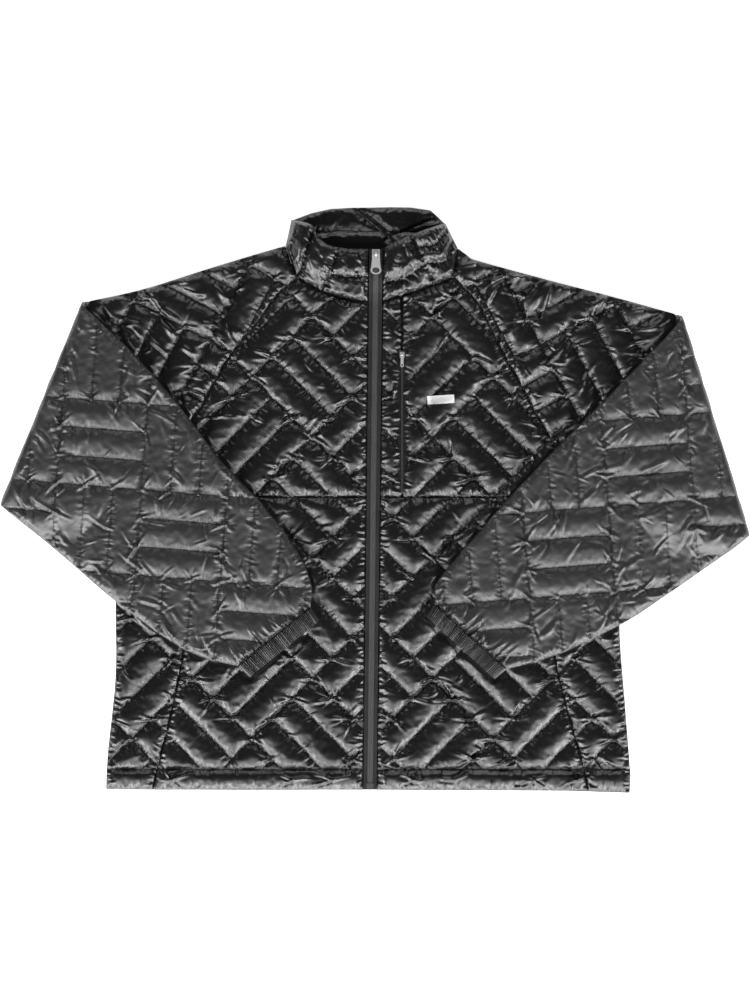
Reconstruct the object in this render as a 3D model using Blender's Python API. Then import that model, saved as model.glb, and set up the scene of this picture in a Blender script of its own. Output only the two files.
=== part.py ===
"""Quilted zip-front jacket, laid flat on its back with both sleeves folded across the fronts.

Each cut piece of cloth is a closed wall: plain on its inner side, with the quilting raised on its outer side.
Sizes are in millimetres and become metres when a mesh is made. X runs across the page, Y from hem to collar
and Z up from the surface it lies on. "right" and "left" are the wearer's, so "right" is at negative X.
"""

import math

import bmesh
import bpy
import numpy as np
from mathutils import Matrix, Vector
from mathutils.geometry import delaunay_2d_cdt

MM = 0.001

# Gaps and wall thicknesses
GAP = 0.3  # between two pieces at a seam, and between two layers that touch
BACK_WALL = 5.5  # layer that lies on the surface, pressed flat
SEAM_WALL = 2.4  # a quilted layer where it is stitched
PUFF = 7.0  # how far the padding rises between two stitch lines
PRESSED_WALL = 4.2  # a front under a folded sleeve
FOLD_WALL = 3.0  # the hidden layer of a sleeve, and the front layer at the sleeve's fold
EDGE_ROLL = 9.0  # how far from a seam the padding reaches its full height
UNDER_ROLL = 3.5  # how far the underside is drawn in along a free edge
CENTRE_LIFT = 0.5  # moves the collar's top and the hem to the same distance from the origin
MARK_CLEAR = 1.5  # points that carry the quilting keep this far from the ring along an edge
LINING_ROLL = 0.8  # how far a front's outer side is drawn in along its seams

# Fronts under a folded sleeve: pressed from PRESS_START outside its outline, and fully from PRESS_FULL
PRESS_START = 16.0
PRESS_FULL = 5.0
PRESS_RING = 4.5
PRESS_CLEAR = 3.0  # the points of that ring keep this far from a panel's own outline
HEM_CLEAR = 4.0
HEM_HALF = 320.0  # the hem's rows of points run this far to each side

# Quilting: blocks of three channels that turn by a right angle from one block to the next
CHANNEL = 34.0
CHANNELS_A_BLOCK = 3
BLOCK = CHANNEL * CHANNELS_A_BLOCK
CHANNEL_END = 11.0  # length over which a channel closes at its block's edge
QUILT_REACH = 8  # blocks laid out on each side of a quilt's centre
QUILT_FRAMES = {  # piece group: centre x, centre y, turn in degrees, parity of its first block
    "front_right": (-3.0, 2.0, 45.0, 0),
    "front_left": (-3.0, 2.0, 45.0, 1),
    "upper_right": (-150.0, 280.0, -28.0, 0),
    "upper_left": (150.0, 275.0, 28.0, 1),
    "forearm_right": (-380.0, 20.0, -4.5, 0),
    "forearm_left": (380.0, 0.0, 4.5, 1),
}
SIDES = {"right": -1, "left": 1}

# Seams and edges of the laid-out jacket. Each row is one run of points (x, y), smoothed between its ends.
RUNS = {
    "right": {
        "neck_sleeve": [(-106.8, 303.7), (-100, 283), (-91.8, 265)],
        "neck_outer": [(-91.8, 265), (-63.6, 249), (-32.4, 239.3)],
        "raglan": [(-91.8, 265), (-117, 247), (-134, 221), (-172.8, 173.4), (-222, 91.8), (-306, 2)],
        "shoulder": [(-106.8, 303.7), (-141, 294), (-204.4, 274.7), (-278.4, 251.4), (-352.5, 235)],
        "fold": [(-352.5, 235), (-449.4, -4.8)],
        "underarm": [(-306, 2), (-449.4, -4.8)],
        "side": [(-306, 2), (-310.4, -119), (-310.4, -210), (-319.7, -302), (-322, -347)],
        "waist_outer": [(-306, 2), (-224, 3)],
        "pocket": [(-224, 3), (-226, -120), (-228.8, -179), (-243.2, -253), (-260.9, -324), (-266, -347.5)],
        "hem_outer": [(-322, -347), (-266, -347.5)],
        "arm_upper": [(-352.5, 235), (-288.8, 175), (-231, 108.8), (-184.8, 47.4), (-139.3, 0.2),
                      (-110.6, -35.2), (-85.4, -73.8), (-75.4, -102.5), (-76.8, -129)],
        "arm_lower": [(-449.4, -4.8), (-402.5, -43.8), (-330, -104.8), (-268, -153), (-222, -182),
                      (-190, -193), (-163, -199)],
        "cuff_seam": [(-76.8, -129), (-163, -199)],
        "cuff_mouth": [(-66, -144), (-149.4, -212)],
        "collar_top": [(-100.2, 334.6), (-75.6, 327), (-66, 311), (-46, 301), (-8, 299.4)],
        "collar_side": [(-106.8, 303.7), (-103.7, 320.9), (-100.2, 334.6)],
    },
    "left": {
        "neck_sleeve": [(99, 301), (97.2, 287.4), (92.4, 266)],
        "neck_outer": [(92.4, 266), (70.8, 257), (32.4, 244)],
        "raglan": [(92.4, 266), (126, 232.2), (143.3, 193.8), (180.6, 126.4), (215.4, 66.6), (294, 2)],
        "shoulder": [(99, 301), (108.8, 290.4), (200.6, 264.6), (291.8, 240.8), (369.5, 219)],
        "fold": [(369.5, 219), (449.4, -40.9)],
        "underarm": [(294, 2), (449.4, -40.9)],
        "side": [(294, 2), (292.6, -148.4), (298.4, -234), (306.5, -339.5), (305, -351.4)],
        "waist_outer": [(294, 2), (208, 3)],
        "pocket": [(208, 3), (210, -120), (214.8, -188), (226.9, -240), (249.8, -321.6), (255, -349)],
        "hem_outer": [(305, -351.4), (255, -349)],
        "arm_upper": [(369.5, 219), (345.5, 192.7), (281.2, 126.2), (214.7, 59.9), (166, 8.9),
                      (112.7, -51.8), (77.8, -92.2), (68.5, -112), (71, -125)],
        "arm_lower": [(449.4, -40.9), (411.8, -70.9), (318, -135), (241.2, -175.2), (204.6, -189.5),
                      (156, -203)],
        "cuff_seam": [(71, -125), (156, -203)],
        "cuff_mouth": [(61.2, -139.8), (142.5, -214)],
        "collar_top": [(84.4, 330.5), (50, 318), (24, 308), (9.2, 300)],
        "collar_side": [(99, 301), (93, 312), (84.4, 330.5)],
    },
}
COLLAR_BACK_TOP = [(-100.2, 334.6), (-58.8, 348), (3, 350.4), (43.2, 350.4), (69.2, 346), (84.4, 330.5)]
NECK_BACK = [(-91.8, 265), (0, 256), (92.4, 266)]
OUTLINE_STEP = 24.0  # spacing of the points along a run

# Waist, hem and zip
HEM_Y = -347.6
HEM_STITCH_Y = -322.8
HEM_ROLL = 6.0
NECK_Y = 237.0
WAIST_Y = 3.0
ZIP_TOP_Y = 299.4
ZIP_X = {"hem": -6.0, "top": 1.2}
TAPE_HALF = 8.0
TAPE_WALL = 1.4
COIL_HALF = 3.4
COIL_HEIGHT = 2.0
TAPE_UNDER = 1.2  # the tape's underside above the lining of the cloth beside it
TAPE_OPEN = 1.6  # where the tape's edge turns away from the coil, at the slider
COIL_BOTTOM = 9.0  # the coil's lower end above the hem
TAPE_BOTTOM = 1.0
TAPE_TOP = 0.5  # the tapes stop this far below the collar's top
TAPE_TURN = 0.01  # length over which their edges step away from the coil
ZIP_BOX = {"half": 4.2, "from": 1.2, "to": 8.6, "over_coil": 0.4}  # the fixed box at the zip's lower end
SLIDER_BACK = 0.8  # wall of a slider's rear plate
SLIDER_SIDE = 0.8  # share of its length over which a slider's sides come down
SLIDER_OVER_COIL = 1.0  # the coil runs in under the slider by this much
SLIDER_WEDGE = {"width": 2.2, "length": 3.0, "from_top": 1.8, "joins": 0.4}  # between its two plates
EYE_CLEAR = 2.2 * GAP  # sideways play between a pull's eye and the arch it hangs on
RING_SWEEP = (150, 390)  # degrees
PULL_HALF = 0.9  # half a pull's thickness, as a share of its bar's radius

# Folded sleeves: both layers turn about one line, FOLD_RADIUS in from the outermost edge
FOLD_RADIUS = 10.2
FOLD_Z = 10.2
BACK_INNER_RADIUS = FOLD_RADIUS - BACK_WALL
FRONT_LINING_RADIUS = BACK_INNER_RADIUS - GAP - 0.2
ARM_UNDER_Z = FOLD_Z + FRONT_LINING_RADIUS - FOLD_WALL
SAG_START = 9.0  # the forearm leaves what it lies on this far past its edge
SAG_RUN = 45.0  # and comes down to the surface over this length
SAG_GRID = 16.0
SAG_RING = 8.0
SAG_LEAST = 0.02  # points are only set where it falls by more than this, and has not come down yet
FOLD_EASE = 22.0  # the upper arm's padding grows to its full height over this length from the fold
BEND_ROWS = 5
BEND_MARKS = 7

# Collar
COLLAR_LIFT = 14.0  # how far the front of the collar stands off the back of it
COLLAR_LIFT_AT_ZIP = 6.5
COLLAR_RISE = {"side": 0.3, "zip": 0.55, "height": 0.55}  # shares over which it rises, and falls to the zip
COLLAR_CHANNELS = 3
COLLAR_PUFF = 4.5
COLLAR_INSET = 1.2  # clears the neck seam, which the panels follow in longer steps
COLLAR_COLUMNS = 11

# Cuffs
CUFF_WALL = 3.8
CUFF_HEIGHT = 11.0
CUFF_GATHERS = 30
CUFF_GATHER_DEPTH = 1.3
CUFF_END = 0.05  # share of its width over which a cuff's folded end is rounded
CUFF_ROUND = 0.03  # share of its width by which the inside stops short of each end
CUFF_UNDER_COUNT = 12
CUFF_END_WAVE = 0.4

# Zip sliders: sizes of each, the hinge being the bar at the pull's upper end
SLIDERS = {
    "zip": {"y": 292.0, "plate": (9.4, 12.0, 1.5), "bail_inner": 1.6, "bail_outer": 2.8, "bail_width": 2.2,
            "bar_radius": 0.75, "neck": 4.1, "pull": 24.0, "ring": (6.6, 5.0), "hole": (4.4, 3.4)},
    "pocket": {"y": 173.0, "plate": (5.6, 7.0, 1.0), "bail_inner": 1.05, "bail_outer": 1.8, "bail_width": 1.2,
               "bar_radius": 0.5, "neck": 1.9, "pull": 15.0, "ring": (2.0, 2.6), "hole": (0.9, 1.4)},
}
POCKET_X = 32.4
POCKET_SLIT = {"half": 3.1, "closed": 184.0, "open": 179.0}
POCKET_Y = {"top": 170.0, "bottom": 7.0}
POCKET_COIL = (5.4, 2.6)  # width, height
LABEL = {"x": 78.6, "y": 119.4, "length": 32.0, "width": 10.0, "wall": 0.8, "turn": 3.0, "clear": 0.5}

COLOURS = {  # finish: base colour, roughness, metallic
    "shell": ((0.016, 0.015, 0.017), 0.36, 0.0),
    "sleeve_shell": ((0.042, 0.042, 0.044), 0.42, 0.0),
    "tape": ((0.02, 0.02, 0.021), 0.8, 0.0),
    "coil": ((0.05, 0.05, 0.05), 0.5, 0.0),
    "metal": ((0.75, 0.75, 0.74), 0.25, 1.0),
    "label": ((0.8, 0.8, 0.78), 0.7, 0.0),
}


def clear_scene():
    for old in list(bpy.data.objects):
        bpy.data.objects.remove(old, do_unlink=True)


def material(finish):
    """The Principled material of a finish, made once."""
    if finish in bpy.data.materials:
        return bpy.data.materials[finish]
    made = bpy.data.materials.new(finish)
    made.use_nodes = True
    shader = made.node_tree.nodes["Principled BSDF"]
    colour, roughness, metallic = COLOURS[finish]
    shader.inputs["Base Color"].default_value = (*colour, 1.0)
    shader.inputs["Roughness"].default_value = roughness
    shader.inputs["Metallic"].default_value = metallic
    return made


def solid(name, points, faces, finish):
    """A closed mesh object from points in millimetres, with its faces turned outwards."""
    mesh = bpy.data.meshes.new(name)
    lift = np.array([0.0, CENTRE_LIFT, 0.0])
    mesh.from_pydata([tuple((np.asarray(p, float) + lift) * MM) for p in points], [], faces)
    work = bmesh.new()
    work.from_mesh(mesh)
    bmesh.ops.recalc_face_normals(work, faces=work.faces)
    work.to_mesh(mesh)
    work.free()
    mesh.materials.append(material(finish))
    made = bpy.data.objects.new(name, mesh)
    bpy.context.scene.collection.objects.link(made)
    return made


# --- Runs, outlines and distances ---------------------------------------------------------------------


def smooth_run(points, step=OUTLINE_STEP):
    """A smooth curve through the points, cut into equal lengths of about one step."""
    points = np.asarray(points, float)
    if len(points) > 2:
        ends = [2 * points[0] - points[1], *points, 2 * points[-1] - points[-2]]
        dense = []
        for a, b, c, d in zip(ends, ends[1:], ends[2:], ends[3:]):
            for s in np.linspace(0, 1, 12, endpoint=False):
                dense.append(0.5 * (2 * b + (c - a) * s + (2 * a - 5 * b + 4 * c - d) * s**2
                                    + (3 * b - a - 3 * c + d) * s**3))
        points = np.array([*dense, points[-1]])
    along = np.concatenate([[0], np.cumsum(np.linalg.norm(np.diff(points, axis=0), axis=1))])
    at = np.linspace(0, along[-1], max(2, math.ceil(along[-1] / step) + 1))
    return np.stack([np.interp(at, along, points[:, k]) for k in range(2)], axis=1)


def run(side, name):
    return smooth_run(RUNS[side][name])


def zip_x(y):
    return ZIP_X["hem"] + (y - HEM_Y) / (ZIP_TOP_Y - HEM_Y) * (ZIP_X["top"] - ZIP_X["hem"])


def zip_run(side, y_from, y_to):
    """The cloth's edge along the zip tape."""
    off = SIDES[side] * TAPE_HALF
    return smooth_run([(zip_x(y_from) + off, y_from), (zip_x(y_to) + off, y_to)], 2 * OUTLINE_STEP)


def joined(*runs):
    """One closed outline from runs that follow each other, anticlockwise."""
    points = np.concatenate([r[:-1] for r in runs])
    x, y = points.T
    area = (x * np.roll(y, -1) - np.roll(x, -1) * y).sum()
    return points if area > 0 else points[::-1]


def inset(loop, by):
    """An anticlockwise outline drawn in by a distance."""
    before, after = loop - np.roll(loop, 1, axis=0), np.roll(loop, -1, axis=0) - loop
    before /= np.linalg.norm(before, axis=1)[:, None]
    after /= np.linalg.norm(after, axis=1)[:, None]
    into = np.stack([-(before + after)[:, 1], (before + after)[:, 0]], axis=1)
    into /= np.maximum(np.linalg.norm(into, axis=1), 1e-9)[:, None]
    cosine = np.maximum((into * np.stack([-after[:, 1], after[:, 0]], axis=1)).sum(1), 0.35)
    return loop + into * (by / cosine)[:, None]


def depth_inside(points, loop):
    """How far each point is inside an outline, negative outside."""
    points = np.atleast_2d(np.asarray(points, float))
    a, b = loop, np.roll(loop, -1, axis=0)
    edge = b - a
    to = points[:, None] - a[None]
    share = np.clip((to * edge).sum(2) / (edge * edge).sum(1), 0, 1)
    away = np.linalg.norm(to - share[..., None] * edge, axis=2).min(1)
    crosses = (a[None, :, 1] > points[:, None, 1]) != (b[None, :, 1] > points[:, None, 1])
    with np.errstate(divide="ignore", invalid="ignore"):
        x_at = a[None, :, 0] + (points[:, None, 1] - a[None, :, 1]) * edge[None, :, 0] / edge[None, :, 1]
    inside = (crosses & (points[:, None, 0] < x_at)).sum(1) % 2 == 1
    return np.where(inside, away, -away)


def ease(x):
    """From 0 to 1 with a soft start and end."""
    x = np.clip(x, 0, 1)
    return x * x * (3 - 2 * x)


def crown(x):
    """A quarter round: 0 at 0, and 1 from 1 on."""
    return np.sqrt(1 - (1 - np.clip(x, 0, 1)) ** 2)


# --- Quilting -------------------------------------------------------------------------------------------


def to_quilt(points, frame):
    """Page points in a quilt's own grid, whose first axis is turned by the frame's angle."""
    x, y, turn, _ = QUILT_FRAMES[frame]
    c, s = math.cos(math.radians(turn)), math.sin(math.radians(turn))
    d = np.atleast_2d(np.asarray(points, float)) - (x, y)
    return np.stack([d[:, 0] * c + d[:, 1] * s, -d[:, 0] * s + d[:, 1] * c], axis=1)


def from_quilt(points, frame):
    x, y, turn, _ = QUILT_FRAMES[frame]
    c, s = math.cos(math.radians(turn)), math.sin(math.radians(turn))
    d = np.atleast_2d(np.asarray(points, float))
    return np.stack([x + d[:, 0] * c - d[:, 1] * s, y + d[:, 0] * s + d[:, 1] * c], axis=1)


def quilt_height(points, frame):
    """Height of the padding as a share of its most: 0 on a stitch line, 1 along a channel's middle."""
    grid = to_quilt(points, frame)
    block = np.floor(grid / BLOCK)
    local = grid - block * BLOCK
    lengthwise = (block.sum(1) + QUILT_FRAMES[frame][3]) % 2 == 0
    across = np.where(lengthwise, local[:, 1], local[:, 0])
    along = np.where(lengthwise, local[:, 0], local[:, 1])
    in_channel = np.mod(across, CHANNEL)
    to_end = np.minimum(along, BLOCK - along)
    round_over = np.sqrt(np.maximum(1 - (2 * in_channel / CHANNEL - 1) ** 2, 0))
    return round_over * crown(to_end / CHANNEL_END)


def quilt_marks(frame, keep):
    """The points and lines that carry the quilting, where keep(points) says so: (points, edges)."""
    parity = QUILT_FRAMES[frame][3]
    found, points, edges = {}, [], []

    def index(u, v):
        key = (round(u, 3), round(v, 3))
        if key not in found:
            found[key] = len(points)
            points.append(key)
        return found[key]

    reach = range(-QUILT_REACH, QUILT_REACH + 1)
    quarters = range(4 * CHANNELS_A_BLOCK + 1)
    for i in reach:
        for j in reach:
            lengthwise = (i + j + parity) % 2 == 0
            for quarter in quarters:
                across = quarter * CHANNEL / 4
                stitched = quarter % 4 == 0
                stops = (0, BLOCK / 2, BLOCK) if stitched else (CHANNEL_END, BLOCK / 2, BLOCK - CHANNEL_END)
                line = []
                for along in stops:
                    u, v = (along, across) if lengthwise else (across, along)
                    line.append(index(i * BLOCK + u, j * BLOCK + v))
                edges += list(zip(line, line[1:]))
    page = from_quilt(points, frame)
    kept = keep(page)
    shares = np.linspace(0.1, 0.9, 9)[:, None]
    clear = []
    for a, b in edges:
        if kept[a] and kept[b] and keep(page[a] + shares * (page[b] - page[a])).all():
            clear.append((a, b))
    number = {old: new for new, old in enumerate(np.flatnonzero(kept))}
    return page[kept], [(number[a], number[b]) for a, b in clear]


# --- Cloth walls ----------------------------------------------------------------------------------------


def triangulated(loop, points, edges):
    """The inside of an outline as triangles that keep the given points and edges."""
    count = len(loop)
    coords = [Vector(p) for p in loop] + [Vector(p) for p in points]
    lines = [(i, (i + 1) % count) for i in range(count)] + [tuple(e) for e in edges]
    out, _, faces, came_from, _, _ = delaunay_2d_cdt(coords, lines, [], 1, 1e-4)
    rim = [0] * count
    for new, old in enumerate(came_from):
        for o in old:
            if o < count:
                rim[o] = new
    return np.array([tuple(p) for p in out]), [tuple(f) for f in faces], rim


def ring_inside(loop, by):
    """Points a little way in from an outline, without those that crowd in its corners."""
    ring = inset(loop, by)
    return ring[depth_inside(ring, loop) > 0.8 * by]


def cloth_wall(name, loop, marks, lining_marks, outer_at, lining_at, finish, roll=0.0):
    """A closed wall over an outline. outer_at and lining_at give the two sides' points in space.

    marks and lining_marks are (points, edges). An edge's end may be -1 - i, the outline's point i.
    """
    loop = inset(loop, GAP / 2)
    rims, vertices, faces = [], [], []
    for (points, edges), at, draw_in in ((marks, outer_at, roll), (lining_marks, lining_at, 0.0)):
        edges = [tuple(len(loop) + e if e >= 0 else -1 - e for e in pair) for pair in edges]
        flat, triangles, rim = triangulated(loop, points, edges)
        drawn = np.array(flat)
        drawn[rim] = inset(loop, draw_in) if draw_in else flat[rim]
        start = len(vertices)
        vertices += list(at(drawn))
        faces += [tuple(start + i for i in f) for f in triangles]
        rims.append([start + i for i in rim])
    for i, j in zip(range(len(loop)), [*range(1, len(loop)), 0]):
        faces.append((rims[0][i], rims[0][j], rims[1][j], rims[1][i]))
    return solid(name, vertices, faces, finish)


def covered_outline(side):
    """What the forearm and its cuff lie over."""
    return joined(run(side, "arm_upper"), smooth_run([RUNS[side]["arm_upper"][-1], RUNS[side]["cuff_mouth"][0]]),
                  run(side, "cuff_mouth"), smooth_run([RUNS[side]["cuff_mouth"][1], RUNS[side]["arm_lower"][-1]]),
                  run(side, "arm_lower")[::-1], run(side, "fold")[::-1])


def pressed(points):
    """1 where a forearm lies on a front, 0 a little way clear of it."""
    near = np.maximum(*(depth_inside(points, covered_outline(side)) for side in SIDES))
    return ease((near + PRESS_START) / (PRESS_START - PRESS_FULL))


def front_thickness(points, loop, frame):
    """Wall thickness of a visible quilted panel."""
    raised = PUFF * quilt_height(points, frame)
    below_stitch = HEM_STITCH_Y - points[:, 1]
    hem_share = np.clip(below_stitch / (HEM_STITCH_Y - HEM_Y), 0, 1)
    raised = raised * crown(-below_stitch / EDGE_ROLL) + np.where(
        below_stitch > 0, HEM_ROLL * np.sqrt(np.maximum(hem_share * (1 - hem_share) * 4, 0)), 0)
    share = pressed(points)
    raised = raised * (1 - share) + (PRESSED_WALL - SEAM_WALL) * share
    return SEAM_WALL + raised * crown(depth_inside(points, loop) / EDGE_ROLL)


def pressed_ring(loop):
    """Points around a forearm, just clear of it, where a front is already pressed to its full extent."""
    points, edges = [], []
    for side in SIDES:
        ring = inset(covered_outline(side), -PRESS_RING)
        inside = depth_inside(ring, loop) > PRESS_CLEAR
        first = len(points)
        points += [tuple(p) for p in ring[inside]]
        number = np.cumsum(inside) - 1 + first
        for i in range(len(ring)):
            j = (i + 1) % len(ring)
            if inside[i] and inside[j]:
                middle = (ring[i] + ring[j]) / 2
                if depth_inside(middle, loop)[0] > PRESS_CLEAR / 3:
                    edges.append((int(number[i]), int(number[j])))
    return points, edges


def hem_rows(loop):
    """Rows of points along the hem's stitch line, and along the top of its roll."""
    points, edges = [], []
    for y in (HEM_STITCH_Y + EDGE_ROLL, HEM_STITCH_Y, (HEM_STITCH_Y + HEM_Y) / 2):
        row = [(x, y) for x in np.arange(-HEM_HALF, HEM_HALF + 1, OUTLINE_STEP)]
        row = [p for p in row if depth_inside([p], loop)[0] > HEM_CLEAR]
        edges += [(len(points) + i, len(points) + i + 1) for i in range(len(row) - 1)]
        points += row
    return points, edges


def front_panel(name, loop, frame):
    """A quilted front panel that lies on the back."""
    base = BACK_WALL + GAP

    def keep(points):
        quilted = depth_inside(points, loop) > EDGE_ROLL + MARK_CLEAR
        return quilted & (points[:, 1] > HEM_STITCH_Y + EDGE_ROLL + MARK_CLEAR) & (pressed(points) < 0.9)

    points, edges = quilt_marks(frame, keep)
    points = list(points)
    around, around_edges = pressed_ring(loop)
    edges = edges + [(a + len(points), b + len(points)) for a, b in around_edges]
    points += around
    points += [p for p in ring_inside(loop, EDGE_ROLL) if p[1] > HEM_STITCH_Y + EDGE_ROLL + 2 * MARK_CLEAR]
    if loop[:, 1].min() < HEM_STITCH_Y:
        rows, row_edges = hem_rows(loop)
        edges = edges + [(a + len(points), b + len(points)) for a, b in row_edges]
        points += rows
    outer = lambda p: np.column_stack([p, base + front_thickness(p, loop, frame)])
    lining = lambda p: np.column_stack([p, np.full(len(p), base)])
    return cloth_wall(name, loop, (points, edges), ([], []), outer, lining, "shell", roll=LINING_ROLL)


def flat_panel(name, loop, finish):
    """A plain layer pressed on the surface, drawn in a little underneath."""
    under = lambda p: np.column_stack([p, np.zeros(len(p))])
    over = lambda p: np.column_stack([p, np.full(len(p), BACK_WALL)])
    return cloth_wall(name, loop, ([], []), ([], []), under, over, finish, roll=UNDER_ROLL)


# --- Sleeves: each half is laid out flat, then folded back over itself ------------------------------------


class Fold:
    """The line that a sleeve is folded along. (t, a) is along it and outwards from it."""

    def __init__(self, side):
        top, bottom = (np.array(p, float) for p in RUNS[side]["fold"])
        self.top = top
        self.along = (bottom - top) / np.linalg.norm(bottom - top)
        self.out = np.array([self.along[1], -self.along[0]])
        if self.out[0] * SIDES[side] < 0:
            self.out = -self.out
        self.support = joined(run(side, "raglan"), run(side, "underarm"), run(side, "fold")[::-1],
                              run(side, "shoulder")[::-1], run(side, "neck_sleeve"))
        self.body = joined(run(side, "side"), smooth_run([RUNS[side]["side"][-1], (0, HEM_Y)]),
                           smooth_run([(0, HEM_Y), (0, NECK_Y)]),
                           smooth_run([(0, NECK_Y), RUNS[side]["raglan"][0]]), run(side, "raglan"))

    def lay(self, page):
        """Page points as (t, a)."""
        d = np.atleast_2d(np.asarray(page, float)) - self.top
        return np.stack([d @ self.along, d @ self.out], axis=1)

    def page(self, t, a):
        return self.top + np.outer(t, self.along) + np.outer(a, self.out)

    def sag(self, page):
        """How far the forearm comes down where nothing lies under it."""
        past = -np.maximum(depth_inside(page, self.support), depth_inside(page, self.body))
        return ARM_UNDER_Z * ease((past - SAG_START) / SAG_RUN)


def cut_at_fold(laid):
    """A run that ends at the outermost edge, ended on the line that the layers turn about instead."""
    if laid[0, 1] > laid[-1, 1]:
        laid = laid[::-1]
    inside = laid[laid[:, 1] < -FOLD_RADIUS - 2.0]
    a, b = inside[-1], laid[-1]
    share = (-FOLD_RADIUS - a[1]) / (b[1] - a[1])
    return np.vstack([inside, a + share * (b - a)])


def sleeve_half(name, side, radius, outwards, wall_at, frame, visible, finish):
    """One half of a sleeve: the upper arm, the fold and the forearm as one wall.

    radius is the lining's distance from the line it turns about, outwards is +1 where the shell is outside it,
    wall_at(page, share, t) gives the thickness with share 0 at the upper arm and 1 at the forearm, and visible is
    the part that shows its quilting, "upper" or "forearm".
    """
    fold = Fold(side)
    bend = math.pi * (radius + outwards * FOLD_WALL / 2)

    def pattern(laid, forearm):
        return np.stack([laid[:, 0], (bend - FOLD_RADIUS - laid[:, 1]) if forearm else laid[:, 1] + FOLD_RADIUS],
                        axis=1)

    shoulder = pattern(cut_at_fold(fold.lay(run(side, "shoulder"))), False)
    underarm = pattern(cut_at_fold(fold.lay(run(side, "underarm"))), False)
    upper = pattern(cut_at_fold(fold.lay(run(side, "arm_upper"))), True)
    lower = pattern(cut_at_fold(fold.lay(run(side, "arm_lower"))), True)
    raglan = pattern(fold.lay(run(side, "raglan")), False)
    neck = pattern(fold.lay(run(side, "neck_sleeve")), False)
    cuff = pattern(fold.lay(run(side, "cuff_seam")), True)
    shares = np.linspace(0, 1, BEND_ROWS)[:, None]
    bend_low = underarm[-1] + shares * (lower[-1] - underarm[-1])
    bend_high = upper[-1] + shares * (shoulder[-1] - upper[-1])
    loop = joined(raglan, underarm, bend_low, lower[::-1], cuff[::-1], upper, bend_high, shoulder[::-1], neck)

    def unfold(p):
        """Pattern points as page points, with the share of the bend that they have passed."""
        share = np.clip(p[:, 1] / bend, 0, 1)
        a = np.where(p[:, 1] <= 0, p[:, 1] - FOLD_RADIUS, -FOLD_RADIUS - (p[:, 1] - bend))
        a = np.where((share > 0) & (share < 1), -FOLD_RADIUS, a)
        return fold.page(p[:, 0], a), share

    def place(p, lift):
        """Points in space at a distance from the lining, towards the shell."""
        page, share = unfold(p)
        r = radius + outwards * lift
        turn = math.pi * (share - 0.5)
        bent = (share > 0) & (share < 1)
        page = page + np.outer(np.where(bent, r * np.cos(turn), 0), fold.out)
        z = FOLD_Z + r * np.sin(turn)
        return np.column_stack([page, z - np.where(share > 0.5, fold.sag(page), 0)])

    def thickness(p):
        page, share = unfold(p)
        return wall_at(page, share, depth_inside(p, loop))

    outer = lambda p: place(p, thickness(p))
    lining = lambda p: place(p, np.zeros(len(p)))

    forearm = visible == "forearm"

    def keep(page):
        laid = fold.lay(page)
        p = pattern(laid, forearm)
        kept = (laid[:, 1] < -FOLD_RADIUS - 6) & (depth_inside(p, loop) > EDGE_ROLL + MARK_CLEAR)
        return kept if forearm else kept & (pressed(page) < 0.9)

    page, edges = quilt_marks(frame, keep)
    points = list(pattern(fold.lay(page), forearm))
    rows, row_edges = bend_rows(loop, bend)
    sag_points = sag_marks(loop, pattern, fold, bend)
    offset = len(points)
    edges = edges + [tuple(e if e < 0 else e + offset for e in pair) for pair in row_edges]
    points += rows
    for p in ring_inside(loop, EDGE_ROLL):
        if abs(p[1] - bend / 2) > bend / 2 + 5:
            points.append(p)
    if not forearm:
        points += sag_points
        ring, ring_edges = pressed_ring(fold.support)
        ring = np.array(ring)
        clear_of_fold = fold.lay(ring)[:, 1] < -FOLD_RADIUS - 5
        number = np.cumsum(clear_of_fold) - 1 + len(points)
        edges += [(int(number[a]), int(number[b])) for a, b in ring_edges if clear_of_fold[a] and clear_of_fold[b]]
        points += list(pattern(fold.lay(ring[clear_of_fold]), False))
    return cloth_wall(name, loop, (points, edges), (rows + sag_points, row_edges), outer, lining, finish,
                      roll=UNDER_ROLL if forearm else 0.6)


def bend_rows(loop, bend):
    """Rows of points along the fold, tied to the outline at both ends."""
    points, edges = [], []
    for level in np.linspace(0, bend, BEND_ROWS):
        near = np.flatnonzero(abs(loop[:, 1] - level) < 0.01)
        ends = near[np.argsort(loop[near, 0])]
        low, high = ends[0], ends[-1]
        ts = np.linspace(loop[low, 0], loop[high, 0], BEND_MARKS)[1:-1]
        first = len(points)
        points += [(t, level) for t in ts]
        chain = [-1 - low, *range(first, len(points)), -1 - high]
        edges += list(zip(chain, chain[1:]))
    return points, edges


def sag_marks(loop, pattern, fold, bend):
    """Points that carry the forearm's fall past the edge of what it lies on."""
    grid = np.array([(x, y) for x in np.arange(-440, 441, SAG_GRID) for y in np.arange(-180, 20, SAG_GRID)])
    sag = fold.sag(grid)
    grid = grid[(sag > SAG_LEAST) & (sag < ARM_UNDER_Z - SAG_LEAST)]
    around = np.concatenate([inset(fold.body, -SAG_RING), inset(fold.support, -SAG_RING)])
    outside = -np.maximum(depth_inside(around, fold.body), depth_inside(around, fold.support))
    clear = outside > SAG_RING - MARK_CLEAR
    grid = np.concatenate([grid, around[clear]])
    p = pattern(fold.lay(grid), True)
    fits = (depth_inside(p, loop) > EDGE_ROLL + 2 * MARK_CLEAR) & (p[:, 1] > bend + SAG_RING)
    return [tuple(q) for q in p[fits]]


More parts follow.
